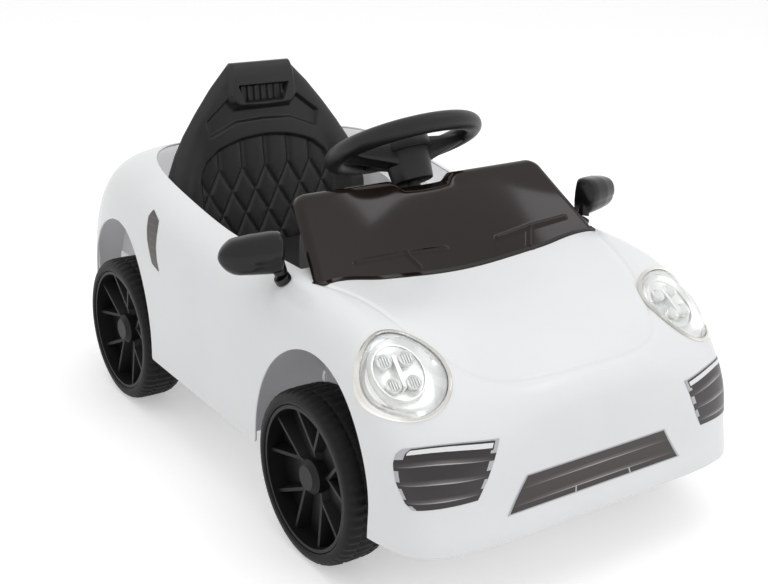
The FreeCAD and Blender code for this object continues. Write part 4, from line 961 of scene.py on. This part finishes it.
# %% Measure distances to a drawn shape
def shape_distance(x, z, shape):
    shape = np.array(shape, float)
    inside = np.zeros(x.shape, bool)
    for (ax, az), (bx, bz) in zip(shape, np.roll(shape, -1, axis=0)):
        crosses = (az > z) != (bz > z)
        with np.errstate(divide="ignore", invalid="ignore"):
            inside ^= crosses & (x < (bx - ax) * (z - az) / (bz - az) + ax)
    off = distance_to_line(x, z, np.concatenate([shape, shape[:1]]))
    return np.where(inside, -off, off)


def sunk(distance, depth, slope):
    return depth * (1 - ease(distance, -slope, slope))


print("a point at the middle of a square 10 wide:",
      shape_distance(np.array([0.0]), np.array([0.0]), [(-5, -5), (5, -5), (5, 5), (-5, 5)]))

# %% The relief of the seat
seat_foot_y, seat_foot_z, seat_lean = 257.0, 168.0, math.radians(8.5)
seat_outline = np.array([(150, 0), (163, 45), (164, 95), (156, 135), (143, 164), (128, 189), (106, 219),
                         (80, 251), (47, 285)], float)
seat_top = seat_outline[-1, 1]
edge_band, edge_roll = 20.0, 9.0
bolster_rise, bolster_fades, bolster_shares = 12.0, (90, 200), (0.68, 0.86)
head_rise, slot_depth, chest_depth, quilt_depth = 7.0, 11.0, 6.0, 5.0
rib_pitch, rib_half, rib_height, rib_from = 11.0, 2.0, 4.0, 6.0
quilt_pitch, quilt_break, quilt_slope, seam_lean = 38.0, 134.0, 1.76, 0.87
seam_depth, seam_width, pillow_depth, pillow_width = 2.6, 2.0, 1.2, 7.0


def mirrored(half):
    return half + [(-x, z) for x, z in half[::-1] if x != 0]


head_shape = mirrored([(49, 300), (53, 240), (50, 230), (42, 223), (0, 221)])
slot_shape = mirrored([(31, 229), (40, 252)])
chest_shape = mirrored([(46, 219), (57, 233), (91, 206), (87, 184), (45, 201), (0, 203)])
quilt_shape = mirrored([(108, -20), (108, 122), (105, 134), (98, 147), (80, 162), (60, 170), (41, 175),
                        (20, 178), (0, 179)])


def seat_half_width(height):
    return np.interp(height, seat_outline[:, 1], seat_outline[:, 0])


def off_seam(value):
    return np.abs(value / quilt_pitch - np.round(value / quilt_pitch)) * quilt_pitch


def quilt_groove(x, z):
    drop = (quilt_break - z) / quilt_slope
    diamond = np.minimum(off_seam(x - drop), off_seam(x + drop)) * seam_lean
    off = np.where(z > quilt_break, off_seam(x), diamond)
    return seam_depth * np.exp(-(off / seam_width) ** 2) + pillow_depth * np.exp(-(off / pillow_width) ** 2)


def seat_relief(x, z):
    half = seat_half_width(z)
    band = np.clip(1 - np.minimum(half - np.abs(x), seat_top - z) / edge_band, 0, 1)
    roll = edge_roll * (1 - np.sqrt(np.clip(1 - band ** 2, 0, 1)))
    near, far = (half * share for share in bolster_shares)
    bolster = -bolster_rise * (1 - ease(z, *bolster_fades)) * ease(np.abs(x), near, far)
    head = sunk(shape_distance(x, z, head_shape), -head_rise, 3.0)
    slot = sunk(shape_distance(x, z, slot_shape), slot_depth, 1.6)
    off_rib = (x / rib_pitch - np.round(x / rib_pitch)) * rib_pitch
    ribs = np.where(slot > rib_from, -rib_height * np.exp(-(off_rib / rib_half) ** 4), 0)
    chest = sunk(shape_distance(x, z, chest_shape), chest_depth, 2.6)
    quilt = sunk(shape_distance(x, z, quilt_shape), 1, 3.0) * (quilt_depth + quilt_groove(x, z))
    return roll + bolster + head + slot + ribs + chest + quilt


relief_test = seat_relief(*np.meshgrid(np.linspace(-130, 130, 80), np.linspace(5, 280, 80)))
print("relief runs from", relief_test.min().round(1), "to", relief_test.max().round(1), "mm")

# %% The bucket seat
seat_columns, seat_rows, seat_low, back_taper = 260, 260, 2.0, 300.0
back_profile = ((0, 9), (1.5, 10.5), (18, 28), (19, 30), (22, 30), (23, 28), (12, 16))
share, height = np.meshgrid(np.linspace(-1, 1, seat_columns + 1),
                            np.linspace(seat_low, seat_top, seat_rows + 1))
face_x = share * seat_half_width(height)
points = np.stack([face_x, seat_relief(face_x, height), height], axis=2).reshape(-1, 3)
index = np.arange(share.size).reshape(share.shape)
faces = sheet_quads(index).tolist()
border = sheet_border(index)
ring_share, ring_height = share.ravel()[border], height.ravel()[border]
ring = border
for inset, depth in back_profile:
    ring_x = ring_share * (seat_half_width(ring_height) - inset)
    ring_z = ring_height - inset * ring_height / back_taper
    fresh = len(points) + np.arange(len(border))
    points = np.concatenate([points, np.column_stack([ring_x, np.full(len(border), depth), ring_z])])
    faces += np.stack([np.roll(ring, -1), ring, fresh, np.roll(fresh, -1)], axis=1).tolist()
    ring = fresh
faces.append(ring[::-1].tolist())
lean_cos, lean_sin = math.cos(seat_lean), math.sin(seat_lean)
x, y, z = points.T
points = np.column_stack([x, seat_foot_y + y * lean_cos + z * lean_sin,
                          seat_foot_z - y * lean_sin + z * lean_cos])
make_piece("bucket_seat", points, faces, seat_black, "car", ["seat_back"])
print("seat:", len(points), "points, top at", round(float(points[:, 2].max()), 1), "mm")

# %% [markdown]
# The steering wheel has a thick moulded rim with a parting seam, two small bands on its upper
# right, and dished spokes that rise from a collar. A tube bent round a circle gives the rim,
# and the seam and bands are thin dents in the tube's radius. The wheel is drawn flat and then set
# on its column, and the frame says where that is, because the column is one of its joints.

# %% The steering wheel rim
joints = {joint["name"]: joint for joint in frame["joints"]}
wheel_hub = np.array(joints["steering_turn"]["pos_m"]) / MM
column_tilt = math.radians(30)
rim_radius, rim_thick, rim_steps, tube_steps = 88.0, 12.0, 240, 48
seam_at, seam_dent, seam_spread = math.radians(100), 0.7, 0.09
band_places, band_dent, band_spread = (math.radians(47), math.radians(53)), 0.6, 0.013


def on_column(points):
    points = np.asarray(points, float)
    tilted = points.copy()
    tilted[..., 1] = points[..., 1] * math.cos(column_tilt) + points[..., 2] * math.sin(column_tilt)
    tilted[..., 2] = points[..., 2] * math.cos(column_tilt) - points[..., 1] * math.sin(column_tilt)
    return tilted + wheel_hub


def dent(angle, at, width):
    off = (angle - at + math.pi) % (2 * math.pi) - math.pi
    return np.exp(-(off / width) ** 2)


turn, section = np.meshgrid(full_turn(rim_steps), full_turn(tube_steps), indexing="ij")
thick = rim_thick - seam_dent * dent(section, seam_at, seam_spread)
for band in band_places:
    thick = thick - band_dent * dent(turn, band, band_spread)
reach = rim_radius + thick * np.cos(section)
rim_points = np.stack([reach * np.cos(turn), reach * np.sin(turn), thick * np.sin(section)], axis=2)
print("rim outside diameter", round(2 * (rim_radius + rim_thick)), "mm")

# %% Spokes and hub plate
button_wells, well_radius, plate_steps, plate_wall = ((-15.0, 0.0), (15.0, 0.0)), 9.4, 61, 7.0
spoke_sections = ((8, 3.5, -29, 1.0), (24, 3.5, -29, 1.0), (45, 2.2, -22, 0.92), (66, 1.0, -15.5, 0.9),
                  (84, 0.2, -9.5, 1.05))


def spoke(angle, half):
    out = np.array([math.cos(angle), math.sin(angle), 0])
    sideways = np.array([-math.sin(angle), math.cos(angle), 0])
    sections = []
    for along, top, low, wide in spoke_sections:
        across, through = rounded_box(half * wide, (top - low) / 2, 7.0)
        height = np.array([0, 0, 1]) * ((top + low) / 2 + through)[:, None]
        sections.append(out * along + sideways * across[:, None] + height)
    return loft(sections)


def hub_plate(radius, height):
    line = np.linspace(-radius - 1, radius + 1, plate_steps)
    x, y = (grid.ravel() for grid in np.meshgrid(line, line))
    flat = np.column_stack([x, y, np.full(x.shape, height)])
    away = [np.hypot(x - a, y - b) - well_radius for a, b in button_wells]
    distance = np.minimum.reduce(away + [radius - np.hypot(x, y)])
    quads = sheet_quads(np.arange(len(flat)).reshape(plate_steps, plate_steps))
    plate = trim(flat, np.tile([0, 0, 1.0], (len(flat), 1)), quads, distance)
    points, _, faces = roll_edges(*plate, plate_wall)
    return points, faces


print("a spoke has", len(spoke(0, 16)[0]), "points")

# %% The steering wheel
hub_profile = [(24, -12.3), (32.4, -12.3), (33.8, -11.2), (34, -9.6), (31, 9.0), (29.8, 11.2), (28.4, 11.9)]
well_floor = [(6, 4.6), (26, 4.6), (26, 4.4), (6, 4.4)]
collar_profile = [(7, -60), (8, -60), (8, -50), (23.5, -50), (25.3, -49), (25.9, -47), (30, -2), (30, 3),
                  (13, 3.2)]
hub_points, hub_faces = turned(hub_profile)
wheel_parts = [(rim_points.reshape(-1, 3), ring_faces(rim_steps, tube_steps)), (hub_points, hub_faces[:-1]),
               hub_plate(28.6, 11.9), turned(well_floor)]
wheel_parts += [spoke(math.radians(a), half) for a, half in ((0, 16), (180, 16), (90, 13))]
wheel_parts.append(turned(collar_profile))
points, faces = join_parts(wheel_parts)
make_piece("wheel_rim", on_column(points), faces, satin_black, "steering", ["steering_wheel"])
print("steering wheel:", len(points), "points")

# %% [markdown]
# The mirrors are small gloss pods on stalks. A pod is a row of rounded sections that swell and
# shrink along its length, so it is lofted, and its lower part is set in a little under a seam.
# Its back is flat, and the whole pod is swept so that its outer end sits farther back.

# %% The sections of a mirror pod
mirror_foot = np.array(joints["mirror_left_swivel"]["pos_m"]) / MM
mirror_axis = np.array(joints["mirror_left_swivel"]["axis"])
pod_middle = mirror_foot + np.array([34.0, 14.0, 31.5])
pod_half_width, pod_half_height, pod_half_depth, pod_sweep = 37.0, 26.0, 20.0, math.radians(17)
pod_back, pod_steps, seam_height, seam_inset, lower_inset = 9.0, 72, 0.12, 0.05, 0.06
pod_shares = np.concatenate([np.linspace(-1, -0.86, 9), np.linspace(-0.8, 0.8, 25), np.linspace(0.84, 1, 9)])


def squarish(value):
    return np.sign(value) * np.abs(value) ** 0.8


def pod_section(share):
    angle = full_turn(pod_steps)
    height = np.sin(angle)
    upper = np.interp(share, (-1, -0.6, 0, 0.6, 1), (0.98, 1.0, 0.92, 0.76, 0.60))
    under = np.interp(share, (-1, -0.4, 0.4, 0.8, 1), (0.88, 0.88, 0.84, 0.70, 0.58))
    swell = np.interp(share, (-1, -0.6, 0, 0.6, 1), (0.84, 0.97, 1.0, 0.90, 0.62))
    end = max(-share - 0.82, 0) / 0.18 + max(share - 0.50, 0) / 0.50
    close = math.sqrt(max(1 - end ** 2, 0.01))
    seam = seam_inset * np.exp(-((height + seam_height) / 0.05) ** 2)
    size = close * (1 - lower_inset * ease(-height, 0.10, 0.20) - seam)
    deep = np.minimum(pod_half_depth * swell * size * squarish(np.cos(angle)), pod_back)
    tall = pod_half_height * np.where(height > 0, upper, under) * size * squarish(height)
    across = pod_half_width * share
    x = across * math.cos(pod_sweep) - deep * math.sin(pod_sweep)
    y = across * math.sin(pod_sweep) + deep * math.cos(pod_sweep)
    return pod_middle + np.column_stack([x, y, tall])


print("sections of a pod:", len(pod_shares))

# %% The two mirror pods
def tube(path, radii, count=32):
    sections = []
    angle = full_turn(count)[:, None]
    for k, radius in enumerate(radii):
        ahead = unit(path[min(k + 1, len(path) - 1)] - path[max(k - 1, 0)])
        side = unit(np.cross(ahead, [0, 1, 0]))
        rise = np.cross(ahead, side)
        sections.append(path[k] + radius * (np.cos(angle) * side + np.sin(angle) * rise))
    return loft(sections)


stalk_start, stalk_run = mirror_foot + mirror_axis * 5, np.array([8.0, 4.0, 33.0])
base = [mirror_foot + mirror_axis * a for a in (0.5, 1.0, 6.5, 8.0, 8.6)]
stalk = [stalk_start + stalk_run * a for a in (0.16, 0.3, 0.55, 0.8, 1.0)]
pod = loft([pod_section(share) for share in pod_shares])
base_radii, stalk_radii = (9.2, 9.7, 9.5, 8.8, 7.0), (7.8, 7.9, 7.6, 7.3, 7.0)
points, faces = join_parts([pod, tube(base, base_radii), tube(stalk, stalk_radii)])
for side, sign in sides.items():
    make_piece("mirror_pod_" + side, points * np.array([sign, 1, 1]), turned_over(faces, sign), mirror_black,
               "mirror_" + side, ["mirror_" + side])
print("mirror pods: 2, of", len(points), "points")

# %% [markdown]
# The tyres are hard plastic with a rubber look: a smooth sidewall, a rounded shoulder with fine
# ribs across it, and two grooves round the tread. Spinning a profile gives the round form, and the
# ribs are a small ripple in the radius, strongest on the shoulder.

# %% The four tyres
wheel_face_x, tread_middle = 257.0, 30.0
outer_shoulder = [(84, 56), (84, 1.5), (85, 0.4), (88, 0), (92, 0.6), (95, 2), (97.6, 5), (99, 9), (99.7, 14)]
inner_shoulder = [(99.7, 46), (98.6, 51.5), (96, 56.5), (92, 59.4), (86, 60)]
tread_groove = [(100, -2.5), (99.2, -1.5), (98.6, 0), (99.2, 1.5), (100, 2.5)]
tread = [(radius, at + middle) for middle in (19.5, 40.5) for radius, at in tread_groove]
tyre_profile = outer_shoulder + tread + inner_shoulder
rib_count, rib_depth, rib_sharpness, spin_steps = 54, 1.3, 2.5, 432
ribs_start, ribs_stop = (95, 98), (26.5, 28.5)


def tyre(side):
    angle = full_turn(spin_steps)[:, None]
    wave = np.clip(np.cos(angle * rib_count) * rib_sharpness, -1, 1)
    out, inward = np.array(tyre_profile).T
    strength = ease(out, *ribs_start) * (1 - ease(np.abs(inward - tread_middle), *ribs_stop))
    radius = out - rib_depth * strength * (0.5 - 0.5 * wave)
    x = np.broadcast_to(side * (wheel_face_x - inward), radius.shape)
    points = np.stack([x, radius * np.cos(angle), radius * np.sin(angle)], axis=2).reshape(-1, 3)
    return points, turned_over(ring_faces(spin_steps, len(tyre_profile)), -side)


wheel_ends = {"front": -wheelbase / 2, "rear": wheelbase / 2}
for end, y in wheel_ends.items():
    for side, sign in sides.items():
        points, faces = tyre(sign)
        make_piece("tread_" + end + "_" + side, points + np.array([0, y, hub_z]), faces, tyre_black,
                   "wheel_" + end + "_" + side, ["tyre_" + end + "_" + side])
print("tyres: 4, with", rib_count, "ribs each")

# %% [markdown]
# Everything else keeps its solid, because its shape is right already, and gets a real finish:
# bare steel for axles and nuts, brass for the pinion, pale nylon for the gears, webbing for the strap.
# A solid that a finer piece stands for is dressed alike, for a scene that shows it instead.

# %% Finishes for the solids
steel = metal_finish("steel", (0.50, 0.50, 0.50), 0.25, 0.40, 0.8)
brass = metal_finish("brass", (0.70, 0.53, 0.25), 0.20, 0.32, 0.8)
nylon = moulded_finish("nylon", (0.72, 0.70, 0.62), (0.66, 0.64, 0.56), 0.35, 0.48, 0.9, 0.06)
switch_black = moulded_finish("switch_black", (0.02, 0.02, 0.021), (0.015, 0.015, 0.016),
                              0.28, 0.4, 0.8, 0.06)
battery_grey = moulded_finish("battery_grey", (0.05, 0.052, 0.055), (0.04, 0.042, 0.045),
                              0.38, 0.5, 0.8, 0.10)
webbing = moulded_finish("webbing", (0.02, 0.02, 0.022), (0.012, 0.012, 0.014), 0.7, 0.85, 1.2, 0.35)


def both_sides(*names):
    return [name + "_" + side for name in names for side in sides]


def all_wheels(*names):
    return both_sides(*[name + "_" + end for name in names for end in wheel_ends])


dressed_as = [
    (well_white_painted_lighter, ["floor_pan"]),
    (white_shell, ["body_shell"]),
    (screen_black, ["windscreen"]),
    (seat_black, ["seat_back", "seat_base"]),
    (battery_grey, ["battery", "control_box"]),
    (webbing, ["battery_strap"]),
    (switch_black, ["direction_switch_frame", "direction_switch_rocker", "power_switch_frame",
                    "power_switch_rocker", "pedal_switch", "charge_socket"]),
    (steel, ["pedal_pin", "tie_rod", "rear_axle", "rear_nuts", "motor"] + both_sides("front_nut", "knuckle")),
    (brass, ["motor_pinion"]),
    (nylon, ["output_gear", "idler_gear"]),
    (chrome, both_sides("headlight_bezel", "headlight_reflector")),
    (clear_lens, both_sides("headlight_lens")),
    (wheel_black, all_wheels("rim", "hub_cap")),
    (tyre_black, all_wheels("tyre")),
    (mirror_black, both_sides("mirror")),
    (satin_black, ["dashboard", "accelerator_pedal", "steering_wheel", "steering_column", "axle_spacer",
                   "gearbox_inner", "gearbox_outer"] + both_sides("horn_button")),
]
print("finishes laid out for", sum(len(names) for _, names in dressed_as), "of", len(nodes), "solids")

# %% Dress the solids
bare = set(nodes)
for finish, names in dressed_as:
    for name in names:
        nodes[name].data.materials.clear()
        nodes[name].data.materials.append(finish)
    bare -= set(names)
print("solids with no finish yet:", sorted(bare))

# %% [markdown]
# A shop photograph of a white toy has a white ground and big soft lamps, so that the edges show by
# gentle shade. The ground could be a lamp itself, but then it would light the toy from below.
# Light Path tells the shader who is looking: the eye and mirrors see white, the toy sees less.

# %% Floor and sky
def seen_directly(tree):
    path = tree.nodes.new("ShaderNodeLightPath")
    total = path.outputs["Is Camera Ray"]
    for ray in ("Is Glossy Ray", "Is Transmission Ray"):
        either = tree.nodes.new("ShaderNodeMath")
        either.operation = "MAXIMUM"
        tree.links.new(total, either.inputs[0])
        tree.links.new(path.outputs[ray], either.inputs[1])
        total = either.outputs["Value"]
    return total


def between_values(tree, share, low, high):
    scale = tree.nodes.new("ShaderNodeMapRange")
    scale.inputs["To Min"].default_value = low
    scale.inputs["To Max"].default_value = high
    tree.links.new(share, scale.inputs["Value"])
    return scale.outputs["Result"]


floor_half, floor_light, sky_light = 12.0, 0.38, 0.63
floor_corners = [(a * floor_half, b * floor_half, 0) for a, b in ((-1, -1), (1, -1), (1, 1), (-1, 1))]
floor_mesh = bpy.data.meshes.new("studio_floor")
floor_mesh.from_pydata(floor_corners, [], [(0, 1, 2, 3)])
floor = bpy.data.objects.new("studio_floor", floor_mesh)
bpy.context.scene.collection.objects.link(floor)
floor_finish = moulded_finish("floor_paper", grey(0.86), grey(0.85), 0.7, 0.8, 5, 0.02)
floor_tree = floor_finish.node_tree
floor_shader = floor_tree.nodes["Principled BSDF"]
floor_shader.inputs["Emission Color"].default_value = (1, 1, 1, 1)
floor_glow = between_values(floor_tree, seen_directly(floor_tree), 0.0, floor_light)
floor_tree.links.new(floor_glow, floor_shader.inputs["Emission Strength"])
floor_mesh.materials.append(floor_finish)

scene = bpy.context.scene
scene.view_settings.view_transform = "Standard"
world = bpy.data.worlds.new("studio")
scene.world = world
world.use_nodes = True
sky = world.node_tree.nodes["Background"]
sky.inputs["Color"].default_value = (1, 1, 1, 1)
sky_level = between_values(world.node_tree, seen_directly(world.node_tree), sky_light, 1.0)
world.node_tree.links.new(sky_level, sky.inputs["Strength"])
print("floor and sky ready")

# %% [markdown]
# Three big soft lamps light the toy. The dark screen is a mirror and would show them as pale squares,
# so mirrors don't see them. A small lamp does the opposite: only mirrors see it, and it makes the glint.
# The camera has a longish lens and looks a little down on the car, from beyond its right front corner.

# %% Lamps
def lamp(name, place, aim, size, power):
    data = bpy.data.lights.new(name, "AREA")
    data.shape = "RECTANGLE"
    data.size, data.size_y, data.energy = size[0], size[1], power
    lamp_object = bpy.data.objects.new(name, data)
    lamp_object.location = place
    lamp_object.rotation_euler = (Vector(aim) - Vector(place)).to_track_quat("-Z", "Y").to_euler()
    scene.collection.objects.link(lamp_object)
    return lamp_object


top_lamp = lamp("top_softbox", (0.2, -0.1, 2.6), (0, 0, 0.2), (2.6, 2.6), 24)
left_lamp = lamp("left_softbox", (-2.2, -1.2, 1.5), (0, 0, 0.2), (2.0, 2.0), 6)
front_lamp = lamp("front_softbox", (1.2, -2.6, 1.3), (0, -0.2, 0.2), (2.0, 1.6), 11)
for soft_lamp in (top_lamp, left_lamp, front_lamp):
    soft_lamp.visible_glossy = False
glint_lamp = lamp("glint_softbox", (1.22, -0.96, 2.4), (0.05, -0.15, 0.35), (0.62, 0.36), 1.7)
glint_lamp.visible_diffuse = False
print("lamps: three soft ones and", glint_lamp.name)

# %% Camera
camera_pitch, camera_roll, camera_heading = 69.5256, -1.6767, -34.4616
camera_data = bpy.data.cameras.new("camera")
camera_data.lens, camera_data.sensor_width, camera_data.sensor_fit = 58.25, 36.0, "HORIZONTAL"
camera = bpy.data.objects.new("camera", camera_data)
camera.location = (-0.8785, -1.2816, 0.7705)
camera.rotation_euler = [math.radians(angle) for angle in (camera_pitch, camera_roll, camera_heading)]
scene.collection.objects.link(camera)
scene.camera = camera
print("camera at", [round(v, 3) for v in camera.location])
